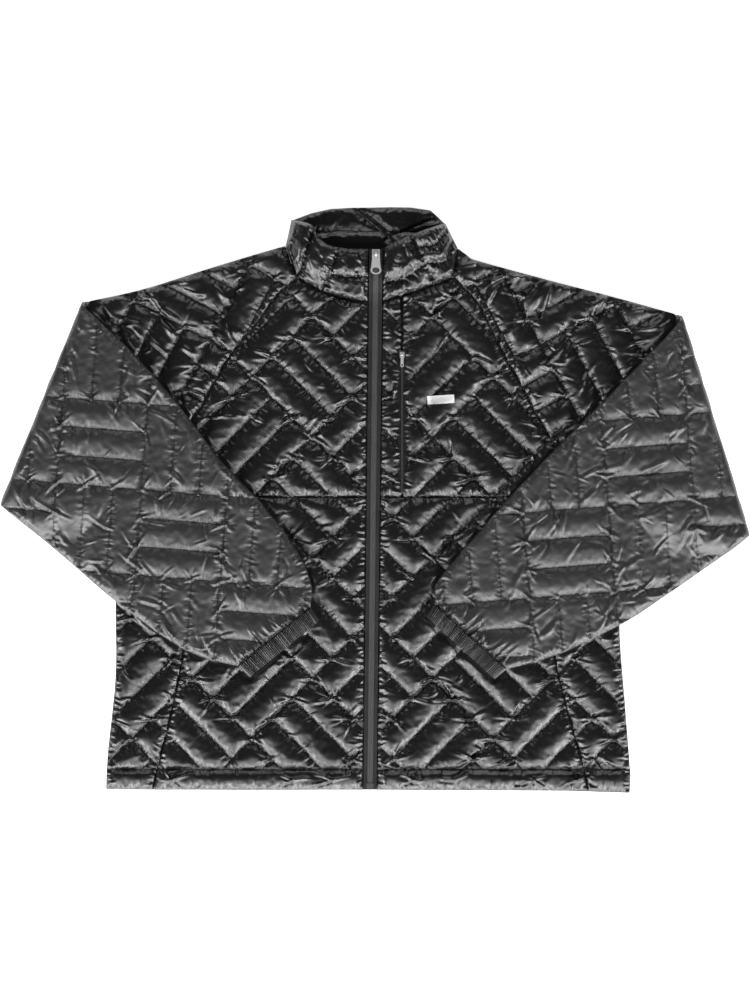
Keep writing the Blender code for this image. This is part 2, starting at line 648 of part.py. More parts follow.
def sleeve(side):
    """Both halves of a sleeve."""
    fold = Fold(side)

    def back_wall(page, share, depth):
        raised = PUFF * quilt_height(page, f"forearm_{side}") * crown(depth / EDGE_ROLL)
        return BACK_WALL + (SEAM_WALL - BACK_WALL) * ease(2 * share - 1) + np.where(share >= 1, raised, 0)

    def front_wall(page, share, depth):
        raised = PUFF * quilt_height(page, f"upper_{side}")
        over = pressed(page)
        raised = raised * (1 - over) + (PRESSED_WALL - SEAM_WALL) * over
        to_fold = -fold.lay(page)[:, 1]
        raised = SEAM_WALL + raised * crown(depth / EDGE_ROLL)
        near = ease((to_fold - FOLD_RADIUS) / FOLD_EASE) * (share <= 0)
        return FOLD_WALL + (raised - FOLD_WALL) * near

    sleeve_half(f"sleeve_{side}_back", side, BACK_INNER_RADIUS, 1, back_wall, f"forearm_{side}", "forearm",
                "sleeve_shell")
    sleeve_half(f"sleeve_{side}_front", side, FRONT_LINING_RADIUS, -1, front_wall, f"upper_{side}", "upper",
                "shell")


# --- Collar ---------------------------------------------------------------------------------------------


def grid_wall(name, outer, lining, finish):
    """A closed wall between two grids of points of the same size."""
    rows, columns = outer.shape[:2]
    vertices = np.concatenate([outer.reshape(-1, 3), lining.reshape(-1, 3)])
    number = np.arange(rows * columns).reshape(rows, columns)
    faces = []
    for shift in (0, rows * columns):
        for i in range(rows - 1):
            for j in range(columns - 1):
                faces.append(tuple(shift + n for n in (number[i, j], number[i, j + 1], number[i + 1, j + 1],
                                                       number[i + 1, j])))
    rim = [*number[0, :], *number[1:, -1], *number[-1, -2::-1], *number[-2:0:-1, 0]]
    for a, b in zip(rim, rim[1:] + rim[:1]):
        faces.append((a, b, b + rows * columns, a + rows * columns))
    return solid(name, vertices, faces, finish)


def resampled(points, count):
    """A smooth run cut into a set number of points."""
    fine = smooth_run(points, 1.0)
    at = np.linspace(0, len(fine) - 1, count)
    return np.stack([np.interp(at, np.arange(len(fine)), fine[:, k]) for k in range(2)], axis=1)


def collar_base(u, v):
    """Height of the collar's lining: u from its side to the zip, v from the neck seam to its top edge."""
    fall = ease((u - 1 + COLLAR_RISE["zip"]) / COLLAR_RISE["zip"])
    lift = COLLAR_LIFT * crown(u / COLLAR_RISE["side"]) + (COLLAR_LIFT_AT_ZIP - COLLAR_LIFT) * fall
    return BACK_WALL + GAP + lift * ease(v / COLLAR_RISE["height"])


def collar_front(side):
    """A front end of the collar, standing off the back of it, stitched in channels along its length."""
    columns, rows = COLLAR_COLUMNS, 4 * COLLAR_CHANNELS + 1
    runs = RUNS[side]
    zip_off = SIDES[side] * (TAPE_HALF + GAP / 2)
    neck = resampled([*runs["neck_sleeve"], *runs["neck_outer"][1:], (zip_x(NECK_Y) + zip_off, NECK_Y)], columns)
    top = resampled([*runs["collar_top"][:-1], (zip_x(ZIP_TOP_Y) + zip_off, ZIP_TOP_Y)], columns)
    rim = np.concatenate([neck, top[::-1]])[::-SIDES[side]]
    neck, top = np.split(inset(rim, COLLAR_INSET)[::-SIDES[side]], 2)
    u, v = np.meshgrid(np.linspace(0, 1, columns), np.linspace(0, 1, rows))
    page = neck[None] + v[..., None] * (top[::-1] - neck)[None]
    base = collar_base(u, v)
    in_channel = np.mod(v * COLLAR_CHANNELS, 1.0)
    puff = COLLAR_PUFF * np.sqrt(np.maximum(1 - (2 * in_channel - 1) ** 2, 0))
    puff *= crown(np.minimum(u, 1 - u) / 0.1)
    lining = np.dstack([page, base])
    outer = np.dstack([page, base + SEAM_WALL + puff])
    return grid_wall(f"collar_{side}", outer, lining, "shell")


def collar_back():
    loop = joined(run("right", "collar_side"), smooth_run(COLLAR_BACK_TOP), run("left", "collar_side")[::-1],
                  run("left", "neck_sleeve"), smooth_run(NECK_BACK)[::-1], run("right", "neck_sleeve")[::-1])
    return flat_panel("collar_back", loop, "shell")


# --- Cuffs ----------------------------------------------------------------------------------------------


def cuff(side):
    """An elastic cuff: a flattened tube, gathered where it shows."""
    seam, mouth = (np.array(RUNS[side][name], float) for name in ("cuff_seam", "cuff_mouth"))
    out = mouth.mean(0) - seam.mean(0)
    out /= np.linalg.norm(out)
    seam = seam + out * GAP * 2
    top_count = 2 * CUFF_GATHERS + 1
    share = np.concatenate([np.linspace(0, 1, top_count), np.linspace(1, 0, CUFF_UNDER_COUNT)[1:-1]])
    over = np.arange(len(share)) < top_count
    end_round = crown(np.minimum(share, 1 - share) / CUFF_END)
    wave = np.where(np.arange(len(share)) % 2 == 1, CUFF_GATHER_DEPTH, 0.0) * over
    middle = ARM_UNDER_Z + CUFF_HEIGHT / 2
    half_outer = CUFF_HEIGHT / 2 * end_round
    half_inner = (CUFF_HEIGHT / 2 - CUFF_WALL) * end_round
    rings = []
    for line in (seam, mouth):
        page = line[0] + share[:, None] * (line[1] - line[0])
        inner_page = line[0] + (CUFF_ROUND + (1 - 2 * CUFF_ROUND) * share[:, None]) * (line[1] - line[0])
        sign = np.where(over, 1, -1)
        low_end = np.where((share == 0) | (share == 1), CUFF_END_WAVE, 1.0)
        rings.append((np.column_stack([page, middle + sign * half_outer + wave * low_end]),
                      np.column_stack([inner_page, middle + sign * half_inner])))
    (outer_a, inner_a), (outer_b, inner_b) = rings
    count = len(share)
    vertices = np.concatenate([outer_a, outer_b, inner_b, inner_a])
    faces = []
    for ring in range(4):
        a, b = ring * count, (ring + 1) % 4 * count
        for i in range(count):
            j = (i + 1) % count
            faces.append((a + i, a + j, b + j, b + i))
    return solid(f"cuff_{side}", vertices, faces, "sleeve_shell")


# --- Zip ------------------------------------------------------------------------------------------------


def zip_base(y):
    """Height of the zip tape's underside, which follows the fronts and then the collar."""
    v = np.clip((y - NECK_Y) / (ZIP_TOP_Y - NECK_Y), 0, 1)
    return collar_base(np.ones_like(v), v)


def strip(name, left, right, ys, bottom, height, finish, round_top=False):
    """A bar along the zip from x left(y) to right(y), flat or with a rounded top."""
    rows = []
    for y in ys:
        a, b, z = left(y), right(y), float(bottom(y))
        if round_top:
            middle, half = (a + b) / 2, (b - a) / 2
            rows.append([(middle + half * math.cos(t), y, z + height * math.sin(t))
                         for t in np.linspace(math.pi, 0, 7)])
        else:
            rows.append([(a, y, z), (a, y, z + height), (b, y, z + height), (b, y, z)])
    count = len(rows[0])
    vertices = [p for row in rows for p in row]
    faces = [tuple(range(count)), tuple(range(len(vertices) - count, len(vertices)))]
    for r in range(len(rows) - 1):
        for i in range(count):
            j = (i + 1) % count
            faces.append((r * count + i, r * count + j, (r + 1) * count + j, (r + 1) * count + i))
    return solid(name, vertices, faces, finish)


def zip_tapes_and_coil():
    slider = SLIDERS["zip"]
    coil_top = slider["y"] - slider["plate"][1] / 2 + SLIDER_OVER_COIL
    straight = [*np.linspace(HEM_Y + TAPE_BOTTOM, NECK_Y, 6), *np.linspace(NECK_Y + 10, ZIP_TOP_Y - TAPE_TOP, 7)]
    for side, sign in SIDES.items():
        near = lambda y: zip_x(y) + sign * GAP / 2 if y < coil_top else zip_x(y) + sign * TAPE_OPEN
        far = lambda y: zip_x(y) + sign * (TAPE_HALF - GAP / 2)
        ys = sorted([*straight, coil_top - TAPE_TURN, coil_top + TAPE_TURN])
        strip(f"zip_tape_{side}", near, far, ys, lambda y: zip_base(y) + TAPE_UNDER, TAPE_WALL, "tape")
    ys = [*np.linspace(HEM_Y + COIL_BOTTOM, NECK_Y, 6), *np.linspace(NECK_Y + 10, coil_top - GAP, 7)]
    coil_z = lambda y: zip_base(y) + TAPE_UNDER + TAPE_WALL + GAP
    strip("zip_coil", lambda y: zip_x(y) - COIL_HALF, lambda y: zip_x(y) + COIL_HALF, ys, coil_z, COIL_HEIGHT,
          "coil", round_top=True)
    box_ys = [HEM_Y + ZIP_BOX["from"], HEM_Y + ZIP_BOX["to"]]
    strip("zip_box", lambda y: zip_x(y) - ZIP_BOX["half"], lambda y: zip_x(y) + ZIP_BOX["half"], box_ys, coil_z,
          COIL_HEIGHT + ZIP_BOX["over_coil"], "coil")


def block(size, centre):
    """A box as (points, faces)."""
    corners = [[c + s * d / 2 for c, s, d in zip(centre, signs, size)]
               for signs in [(x, y, z) for x in (-1, 1) for y in (-1, 1) for z in (-1, 1)]]
    faces = [(0, 1, 3, 2), (4, 6, 7, 5), (0, 4, 5, 1), (2, 3, 7, 6), (0, 2, 6, 4), (1, 5, 7, 3)]
    return corners, faces


def united(name, shapes, finish):
    """Overlapping shapes made one body."""
    first = solid(name, *shapes[0], finish)
    for number, shape in enumerate(shapes[1:]):
        helper = solid(f"{name}_helper_{number}", *shape, finish)
        helper.hide_render = True
        helper.display_type = "WIRE"
        union = first.modifiers.new("join", "BOOLEAN")
        union.operation = "UNION"
        union.solver = "EXACT"
        union.object = helper
    return first


def bail(sizes, centre, down):
    """The arch over a slider that its pull hangs on, around the hinge at centre."""
    inner, outer, width = sizes["bail_inner"], sizes["bail_outer"], sizes["bail_width"]
    x, y, z = centre
    profile = [(outer * math.cos(t), outer * math.sin(t)) for t in np.linspace(0, math.pi, 9)]
    profile = [(outer, -down)] + profile + [(-outer, -down), (-inner, -down)]
    profile += [(inner * math.cos(t), inner * math.sin(t)) for t in np.linspace(math.pi, 0, 9)]
    profile += [(inner, -down)]
    count = len(profile)
    points = [(x + side * width / 2, y + a, z + b) for side in (-1, 1) for a, b in profile]
    faces = [tuple(range(count)), tuple(range(count, 2 * count))]
    faces += [(i, (i + 1) % count, count + (i + 1) % count, count + i) for i in range(count)]
    return points, faces


def slider_and_pull(name, x, floor, hangs_on_tape):
    """A slider on its coil and the pull that hangs on it. floor is the height of the tape's top."""
    sizes = SLIDERS[name]
    y = sizes["y"]
    width, length, plate = sizes["plate"]
    coil_clear = COIL_HEIGHT if hangs_on_tape else POCKET_COIL[1]
    plate_z = floor + 2 * GAP + coil_clear
    hinge = (x, y, plate_z + plate + sizes["bar_radius"] + GAP)
    shapes = [block((width, length, plate), (x, y, plate_z + plate / 2)),
              bail(sizes, hinge, sizes["bar_radius"] + GAP + plate / 2)]
    for sign in (-1, 1):
        shapes.append(block((plate, length * SLIDER_SIDE, coil_clear + plate / 2),
                            (x + sign * (width - plate) / 2, y, plate_z + (plate - coil_clear) / 2)))
    if hangs_on_tape:
        low = floor - TAPE_WALL - GAP - SLIDER_BACK
        top = plate_z + SLIDER_WEDGE["joins"]
        shapes.append(block((SLIDER_WEDGE["width"], SLIDER_WEDGE["length"], top - low),
                            (x, y + length / 2 - SLIDER_WEDGE["from_top"], (top + low) / 2)))
        shapes.append(block((width, length, SLIDER_BACK), (x, y, low + SLIDER_BACK / 2)))
    united(f"{name}_slider", shapes, "metal")
    pull(f"{name}_pull", sizes, hinge)


def pull(name, sizes, hinge):
    """A flat pull: an eye over the slider's arch, a neck, and a ring end. Its origin is on the hinge."""
    x, y, z = hinge
    neck, reach, bar = sizes["neck"], sizes["pull"], sizes["bar_radius"]
    ring_x, ring_y = sizes["ring"]
    eye_half = sizes["bail_width"] / 2 + EYE_CLEAR
    eye_low = -(sizes["bail_outer"] + 2 * GAP)
    turn = np.linspace(0, 2 * math.pi, 17)[:-1]
    ring_centre = -(reach - ring_y)
    sweep = np.linspace(*np.radians(RING_SWEEP), 13)
    outline = [(neck, bar), (-neck, bar)]
    outline += [(ring_x * math.cos(t), ring_centre + ring_y * math.sin(t)) for t in sweep]
    eye = [(eye_half, -bar), (eye_half, eye_low), (-eye_half, eye_low), (-eye_half, -bar)]
    hole = [(sizes["hole"][0] * math.cos(t), ring_centre + sizes["hole"][1] * math.sin(t)) for t in turn]
    flat, edges = [], []
    for loop in (outline, eye, hole):
        start = len(flat)
        flat += loop
        edges += [(start + i, start + (i + 1) % len(loop)) for i in range(len(loop))]
    out, _, faces, _, _, _ = delaunay_2d_cdt([Vector(p) for p in flat], edges, [], 1, 1e-5)
    centres = [sum((Vector(out[i]) for i in f), Vector((0, 0))) / len(f) for f in faces]
    in_hole = lambda c: (abs(c.x) < eye_half and eye_low < c.y < -bar
                         or (c.x / sizes["hole"][0]) ** 2 + ((c.y - ring_centre) / sizes["hole"][1]) ** 2 < 0.97)
    faces = [tuple(f) for f, c in zip(faces, centres) if not in_hole(c)]
    count = len(out)
    points = [(x + p[0], y + p[1], z + side * bar * PULL_HALF) for side in (-1, 1) for p in out]
    sides = {pair for f in faces for pair in zip(f, f[1:] + f[:1])}
    borders = [(a, b) for a, b in sorted(sides) if (b, a) not in sides]
    all_faces = faces + [tuple(count + i for i in reversed(f)) for f in faces]
    all_faces += [(a, b, b + count, a + count) for a, b in borders]
    made = solid(name, points, all_faces, "metal")
    origin = Vector((x, y + CENTRE_LIFT, z)) * MM
    made.data.transform(Matrix.Translation(-origin))
    made.location = origin
    return made


# --- Small things on the chest ----------------------------------------------------------------------------


def pocket_zip():
    width, height = POCKET_COIL
    floor = BACK_WALL + 2 * GAP
    ys = np.linspace(POCKET_Y["bottom"], POCKET_Y["top"] - SLIDER_OVER_COIL, 8)
    strip("pocket_coil", lambda y: POCKET_X - width / 2, lambda y: POCKET_X + width / 2, ys, lambda y: floor,
          height, "coil", round_top=True)
    slider_and_pull("pocket", POCKET_X, floor, False)


def label(panel):
    """A small bare label, laid over the quilting of the panel that it is sewn to."""
    depsgraph = bpy.context.evaluated_depsgraph_get()
    depsgraph.update()
    turn = math.radians(LABEL["turn"])
    across = np.linspace(-LABEL["length"] / 2, LABEL["length"] / 2, 11)
    up = np.linspace(-LABEL["width"] / 2, LABEL["width"] / 2, 5)
    grid = []
    for v in up:
        row = []
        for u in across:
            x = LABEL["x"] + u * math.cos(turn) - v * math.sin(turn)
            y = LABEL["y"] + u * math.sin(turn) + v * math.cos(turn)
            hit, place, _, _ = panel.ray_cast(Vector((x * MM, (y + CENTRE_LIFT) * MM, 0.1)), Vector((0, 0, -1)))
            row.append((x, y, place.z / MM if hit else BACK_WALL))
        grid.append(row)
    grid = np.array(grid)
    under = grid + (0, 0, LABEL["clear"])
    return grid_wall("label", under + (0, 0, LABEL["wall"]), under, "label")


# --- The jacket -----------------------------------------------------------------------------------------


def body_outlines():
    """The outline of each body panel, from the seams that it shares with its neighbours."""
    outlines = {}
    for side in SIDES:
        neck_inner = smooth_run([RUNS[side]["neck_outer"][-1], tuple(zip_run(side, NECK_Y, WAIST_Y)[0])])
        waist_inner = smooth_run([RUNS[side]["waist_outer"][-1], tuple(zip_run(side, NECK_Y, WAIST_Y)[-1])])
        hem_inner = smooth_run([RUNS[side]["hem_outer"][-1], tuple(zip_run(side, WAIST_Y, HEM_Y)[-1])])
        outlines[f"front_{side}_lower"] = joined(run(side, "pocket"), hem_inner, zip_run(side, HEM_Y, WAIST_Y),
                                                 waist_inner[::-1])
        outlines[f"front_{side}_side"] = joined(run(side, "side"), run(side, "hem_outer"),
                                                run(side, "pocket")[::-1], run(side, "waist_outer")[::-1])
        if side == "right":
            outlines["front_right_chest"] = joined(
                run(side, "raglan")[::-1], run(side, "neck_outer"), neck_inner, zip_run(side, NECK_Y, WAIST_Y),
                waist_inner[::-1], run(side, "waist_outer")[::-1])
            continue
        seam = smooth_run([RUNS[side]["neck_outer"][-1], (POCKET_X, POCKET_SLIT["closed"])])
        slits = {}
        for edge in (-1, 1):
            x = POCKET_X + edge * POCKET_SLIT["half"]
            slits[edge] = [smooth_run([(POCKET_X, POCKET_SLIT["closed"]), (x, POCKET_SLIT["open"])]),
                           smooth_run([(x, POCKET_SLIT["open"]), (x, WAIST_Y)])]
        outlines["front_left_placket"] = joined(
            *(r[::-1] for r in slits[-1][::-1]), seam[::-1], neck_inner, zip_run(side, NECK_Y, WAIST_Y),
            smooth_run([tuple(zip_run(side, NECK_Y, WAIST_Y)[-1]), tuple(slits[-1][1][-1])]))
        outlines["front_left_chest"] = joined(
            run(side, "raglan")[::-1], run(side, "neck_outer"), seam, *slits[1],
            smooth_run([tuple(slits[1][1][-1]), RUNS[side]["waist_outer"][-1]]),
            run(side, "waist_outer")[::-1])
    hem = smooth_run([RUNS["right"]["side"][-1], (-160, -348), (0, HEM_Y), (145, -347), RUNS["left"]["side"][-1]])
    outlines["back"] = joined(run("right", "side"), hem, run("left", "side")[::-1], run("left", "raglan")[::-1],
                              smooth_run(NECK_BACK)[::-1], run("right", "raglan"))
    return outlines


def build():
    clear_scene()
    outlines = body_outlines()
    flat_panel("back", outlines.pop("back"), "shell")
    collar_back()
    for name, loop in outlines.items():
        front_panel(name, loop, "front_right" if "right" in name else "front_left")
    for side in SIDES:
        sleeve(side)
        collar_front(side)
        cuff(side)
    zip_tapes_and_coil()
    tape_top = float(zip_base(SLIDERS["zip"]["y"])) + TAPE_UNDER + TAPE_WALL
    slider_and_pull("zip", zip_x(SLIDERS["zip"]["y"]), tape_top, True)
    pocket_zip()
    label(bpy.data.objects["front_left_chest"])


build()
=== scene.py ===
"""Looks of the quilted jacket that lies flat on its back, with both sleeves folded across its fronts.

Every cloth piece is a thin quilted shell on its solid's form. Its cut is laid out flat in a fine net that
follows the stitch lines, a short cloth simulation fills it, folds and puckers are laid on it, and the result is
put in its place on the jacket. Sizes are in millimetres until a mesh is made. X runs across, Y from hem to
collar and Z up from the surface. Right and left are the wearer's.
"""

import math

import bmesh
import bpy
import numpy as np
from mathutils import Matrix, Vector
from mathutils.bvhtree import BVHTree
from mathutils.geometry import delaunay_2d_cdt
from mathutils.kdtree import KDTree


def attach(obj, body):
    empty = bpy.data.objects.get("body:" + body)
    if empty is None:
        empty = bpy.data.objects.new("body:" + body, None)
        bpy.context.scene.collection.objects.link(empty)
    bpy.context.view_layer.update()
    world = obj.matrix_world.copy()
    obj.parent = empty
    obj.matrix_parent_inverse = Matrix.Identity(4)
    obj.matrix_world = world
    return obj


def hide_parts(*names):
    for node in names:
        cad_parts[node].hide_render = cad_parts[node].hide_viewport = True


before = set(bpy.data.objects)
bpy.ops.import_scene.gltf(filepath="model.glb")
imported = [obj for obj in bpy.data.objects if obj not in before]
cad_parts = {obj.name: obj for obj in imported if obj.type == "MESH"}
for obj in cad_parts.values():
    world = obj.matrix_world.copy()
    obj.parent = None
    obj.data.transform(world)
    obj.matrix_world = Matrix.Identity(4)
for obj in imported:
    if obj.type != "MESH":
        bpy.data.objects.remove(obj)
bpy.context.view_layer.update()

# --- Camera ---
# Straight above the jacket, as in the photo, whose height is 1.2 m on the surface. The small offset in Y gives
# the camera an azimuth.

PHOTO_HEIGHT = 1.2
CAMERA_HEIGHT = 2.5
camera = bpy.data.objects.new("camera", bpy.data.cameras.new("camera"))
camera.data.lens = camera.data.sensor_width * CAMERA_HEIGHT / PHOTO_HEIGHT
camera.location = (0.0, -0.0001, CAMERA_HEIGHT)
bpy.context.scene.collection.objects.link(camera)
bpy.context.scene.camera = camera
bpy.context.scene.view_settings.view_transform = "Standard"

# --- Floor and light ---
# A white paper floor, and soft lights that stand low in front of the hem, so that they graze the quilting.

MM = 0.001
LIFT_Y = 0.5  # from the middle of the drawing to the middle of the frame
FLOOR_HALF = 30000
FLOOR_Z = -0.4


def mesh_object(name, points, faces, smooth=True):
    """An object from points in millimetres. Edges sharper than a fold in cloth stay sharp."""
    mesh = bpy.data.meshes.new(name)
    mesh.from_pydata(((np.asarray(points, float) + (0, LIFT_Y, 0)) * MM).tolist(), [], faces)
    work = bmesh.new()
    work.from_mesh(mesh)
    bmesh.ops.recalc_face_normals(work, faces=work.faces)
    work.to_mesh(mesh)
    work.free()
    if smooth:
        mesh.shade_smooth()
        mesh.set_sharp_from_angle(angle=math.radians(62))
    else:
        mesh.shade_flat()
    made = bpy.data.objects.new(name, mesh)
    bpy.context.scene.collection.objects.link(made)
    return made


def add_node(tree, kind, inputs):
    """A new shader or geometry node, with a value or another node's output on each named input."""
    made = tree.nodes.new(kind)
    for name, value in inputs.items():
        if isinstance(value, bpy.types.NodeSocket):
            tree.links.new(value, made.inputs[name])
        else:
            made.inputs[name].default_value = value
    return made


def bumped(tree, height, strength, distance, normal=None):
    """A normal with relief on it. distance is in metres."""
    inputs = {"Strength": strength, "Distance": distance, "Height": height}
    if normal:
        inputs["Normal"] = normal
    return add_node(tree, "ShaderNodeBump", inputs).outputs["Normal"]


def plain(name, colour, roughness, metallic=0.0, noise_scale=300.0, bump=0.1):
    """An even finish with a fine grain."""
    made = bpy.data.materials.new(name)
    made.use_nodes = True
    tree = made.node_tree
    place = tree.nodes.new("ShaderNodeTexCoord").outputs["Object"]
    grain = add_node(tree, "ShaderNodeTexNoise", {"Scale": noise_scale, "Vector": place})
    shader = tree.nodes["Principled BSDF"]
    for socket, value in (("Base Color", (*colour, 1)), ("Roughness", roughness), ("Metallic", metallic)):
        shader.inputs[socket].default_value = value
    tree.links.new(bumped(tree, grain.outputs["Fac"], bump, 0.0003), shader.inputs["Normal"])
    return made


def softbox(name, azimuth, elevation, size, power, distance=4.5):
    """A large soft light. Azimuth 0 is the hem's side, and 90 the right."""
    light = bpy.data.lights.new(name, "AREA")
    light.shape = "RECTANGLE"
    light.size, light.size_y = size
    light.energy = power
    made = bpy.data.objects.new(name, light)
    a, e = math.radians(azimuth), math.radians(elevation)
    made.location = Vector((math.cos(e) * math.sin(a), -math.cos(e) * math.cos(a), math.sin(e))) * distance
    made.rotation_euler = (-made.location).to_track_quat("-Z", "Y").to_euler()
    bpy.context.scene.collection.objects.link(made)


corners = [(x * FLOOR_HALF, y * FLOOR_HALF, FLOOR_Z) for x, y in ((-1, -1), (1, -1), (1, 1), (-1, 1))]
floor = mesh_object("floor", corners, [(0, 1, 2, 3)], smooth=False)
paper = plain("floor", (0.93, 0.93, 0.93), 0.9, bump=0.0)
paper.node_tree.nodes["Principled BSDF"].inputs["Emission Color"].default_value = (1, 1, 1, 1)
paper.node_tree.nodes["Principled BSDF"].inputs["Emission Strength"].default_value = 0.9
floor.data.materials.append(paper)

softbox("low front left", -50, 16, (3.2, 1.2), 168)
softbox("low front", 0, 15, (2.8, 1.1), 114)
softbox("low front right", 50, 16, (3.2, 1.2), 168)
softbox("high front left", -40, 42, (2.6, 1.4), 30)
softbox("high front right", 40, 42, (2.6, 1.4), 30)
softbox("near the hem", 0, 36, (2.4, 1.5), 15, distance=1.8)
softbox("behind", 180, 25, (4.0, 1.0), 40)
world = bpy.data.worlds.new("studio")
world.use_nodes = True
world.node_tree.nodes["Background"].inputs["Color"].default_value = (0.018, 0.018, 0.018, 1)
bpy.context.scene.world = world

# --- Back ---
# The body's back panel: one cut of nylon shell, light padding and lining, stitched together in a basket of
# square blocks of three channels each. It lies face down under everything, so its pads are pressed flat.

SIDES = {"right": -1, "left": 1}
RUNS = {  # the edges and seams of each side of the jacket as it lies, as points of smooth curves
    "right": {
        "side": [(-306, 2), (-310.4, -119), (-310.4, -210), (-319.7, -302), (-322, -347)],
        "raglan": [(-91.8, 265), (-117, 247), (-134, 221), (-172.8, 173.4), (-222, 91.8), (-306, 2)],
    },
    "left": {
        "side": [(294, 2), (292.6, -148.4), (298.4, -234), (306.5, -339.5), (305, -351.4)],
        "raglan": [(92.4, 266), (126, 232.2), (143.3, 193.8), (180.6, 126.4), (215.4, 66.6), (294, 2)],
    },
}
NECK_BACK = [(-91.8, 265), (0, 256), (92.4, 266)]
HEM_Y = -347.6
OUTLINE_STEP = 24.0
GAP = 0.3  # room between neighbouring pieces
BACK_WALL = 5.5
BACK_STEP = 5.6
FLAT_PAD = 2.6  # depth of the back's stitch lines, which its pressed pads leave as grooves
PUFF = 6.2  # how far a channel's middle stands above its stitch lines
CHANNEL = 34.0
BLOCK = 3 * CHANNEL
STEP = CHANNEL / 12  # spacing of the fine net
EDGE_ROLL = 15.0  # over which the padding rises from a seam
PRESSURE = 50.0  # of the padding, as the cloth simulation states it
# Each piece group's quilting: centre x, centre y, turn in degrees, parity of its first block.
QUILT_FRAMES = {"back": (0.0, 2.0, 45.0, 0)}
random = np.random.default_rng(7)


def smooth_run(points, step=OUTLINE_STEP):
    """A smooth curve through the points, cut into equal lengths of about one step."""
    points = np.asarray(points, float)
    if len(points) > 2:
        ends = [2 * points[0] - points[1], *points, 2 * points[-1] - points[-2]]
        dense = []
        for a, b, c, d in zip(ends, ends[1:], ends[2:], ends[3:]):
            for s in np.linspace(0, 1, 12, endpoint=False):
                dense.append(0.5 * (2 * b + (c - a) * s + (2 * a - 5 * b + 4 * c - d) * s**2
                                    + (3 * b - a - 3 * c + d) * s**3))
        points = np.array([*dense, points[-1]])
    return even(points, step)


def even(points, step):
    """A polyline cut into equal lengths of about one step."""
    points = np.asarray(points, float)
    along = np.concatenate([[0], np.cumsum(np.linalg.norm(np.diff(points, axis=0), axis=1))])
    at = np.linspace(0, along[-1], max(2, round(along[-1] / step) + 1))
    return np.stack([np.interp(at, along, points[:, k]) for k in range(points.shape[1])], axis=1)


def run(side, name):
    return smooth_run(RUNS[side][name])


def joined(*runs):
    """One closed outline from runs that follow each other, anticlockwise."""
    points = np.concatenate([r[:-1] for r in runs])
    x, y = points.T
    area = (x * np.roll(y, -1) - np.roll(x, -1) * y).sum()
    return points if area > 0 else points[::-1]


def closed(loop):
    return np.vstack([loop, loop[:1]])


def inset(loop, by):
    """An anticlockwise outline drawn in by a distance."""
    before, after = loop - np.roll(loop, 1, axis=0), np.roll(loop, -1, axis=0) - loop
    before /= np.linalg.norm(before, axis=1)[:, None]
    after /= np.linalg.norm(after, axis=1)[:, None]
    into = np.stack([-(before + after)[:, 1], (before + after)[:, 0]], axis=1)
    into /= np.maximum(np.linalg.norm(into, axis=1), 1e-9)[:, None]
    cosine = np.maximum((into * np.stack([-after[:, 1], after[:, 0]], axis=1)).sum(1), 0.35)
    return loop + into * (by / cosine)[:, None]


def depth_inside(points, loop):
    """How far each point is inside an outline, negative outside."""
    points = np.atleast_2d(np.asarray(points, float))
    if len(points) > 4000:
        halves = np.array_split(points, len(points) // 4000 + 1)
        return np.concatenate([depth_inside(half, loop) for half in halves])
    a, b = loop, np.roll(loop, -1, axis=0)
    edge = b - a
    to = points[:, None] - a[None]
    share = np.clip((to * edge).sum(2) / (edge * edge).sum(1), 0, 1)
    away = np.linalg.norm(to - share[..., None] * edge, axis=2).min(1)
    crosses = (a[None, :, 1] > points[:, None, 1]) != (b[None, :, 1] > points[:, None, 1])
    with np.errstate(divide="ignore", invalid="ignore"):
        x_at = a[None, :, 0] + (points[:, None, 1] - a[None, :, 1]) * edge[None, :, 0] / edge[None, :, 1]
    inside = (crosses & (points[:, None, 0] < x_at)).sum(1) % 2 == 1
    return np.where(inside, away, -away)


def crown(x):
    """A quarter of an arch: 0 at 0, and 1 from 1 on."""
    return 1 - (1 - np.clip(x, 0, 1)) ** 2


def quilt_frame(name):
    """A quilt's centre, and the cosine and sine of its turn."""
    x, y, turn, _ = QUILT_FRAMES[name]
    return x, y, math.cos(math.radians(turn)), math.sin(math.radians(turn))


def to_quilt(points, name):
    x, y, c, s = quilt_frame(name)
    d = np.atleast_2d(np.asarray(points, float)) - (x, y)
    return np.stack([d[:, 0] * c + d[:, 1] * s, -d[:, 0] * s + d[:, 1] * c], axis=1)


def from_quilt(points, name):
    x, y, c, s = quilt_frame(name)
    d = np.atleast_2d(np.asarray(points, float))
    return np.stack([x + d[:, 0] * c - d[:, 1] * s, y + d[:, 0] * s + d[:, 1] * c], axis=1)


def quilt_height(points, name):
    """Height of the padding as a share of its most: 0 on a stitch line, 1 along a channel's middle."""
    grid = to_quilt(points, name)
    block = np.floor(grid / BLOCK)
    local = grid - block * BLOCK
    lengthwise = (block.sum(1) + QUILT_FRAMES[name][3]) % 2 == 0
    across = np.where(lengthwise, local[:, 1], local[:, 0])
    along = np.where(lengthwise, local[:, 0], local[:, 1])
    to_end = np.minimum(along, BLOCK - along)
    return crown(1 - np.abs(2 * np.mod(across, CHANNEL) / CHANNEL - 1)) * crown(to_end / EDGE_ROLL)


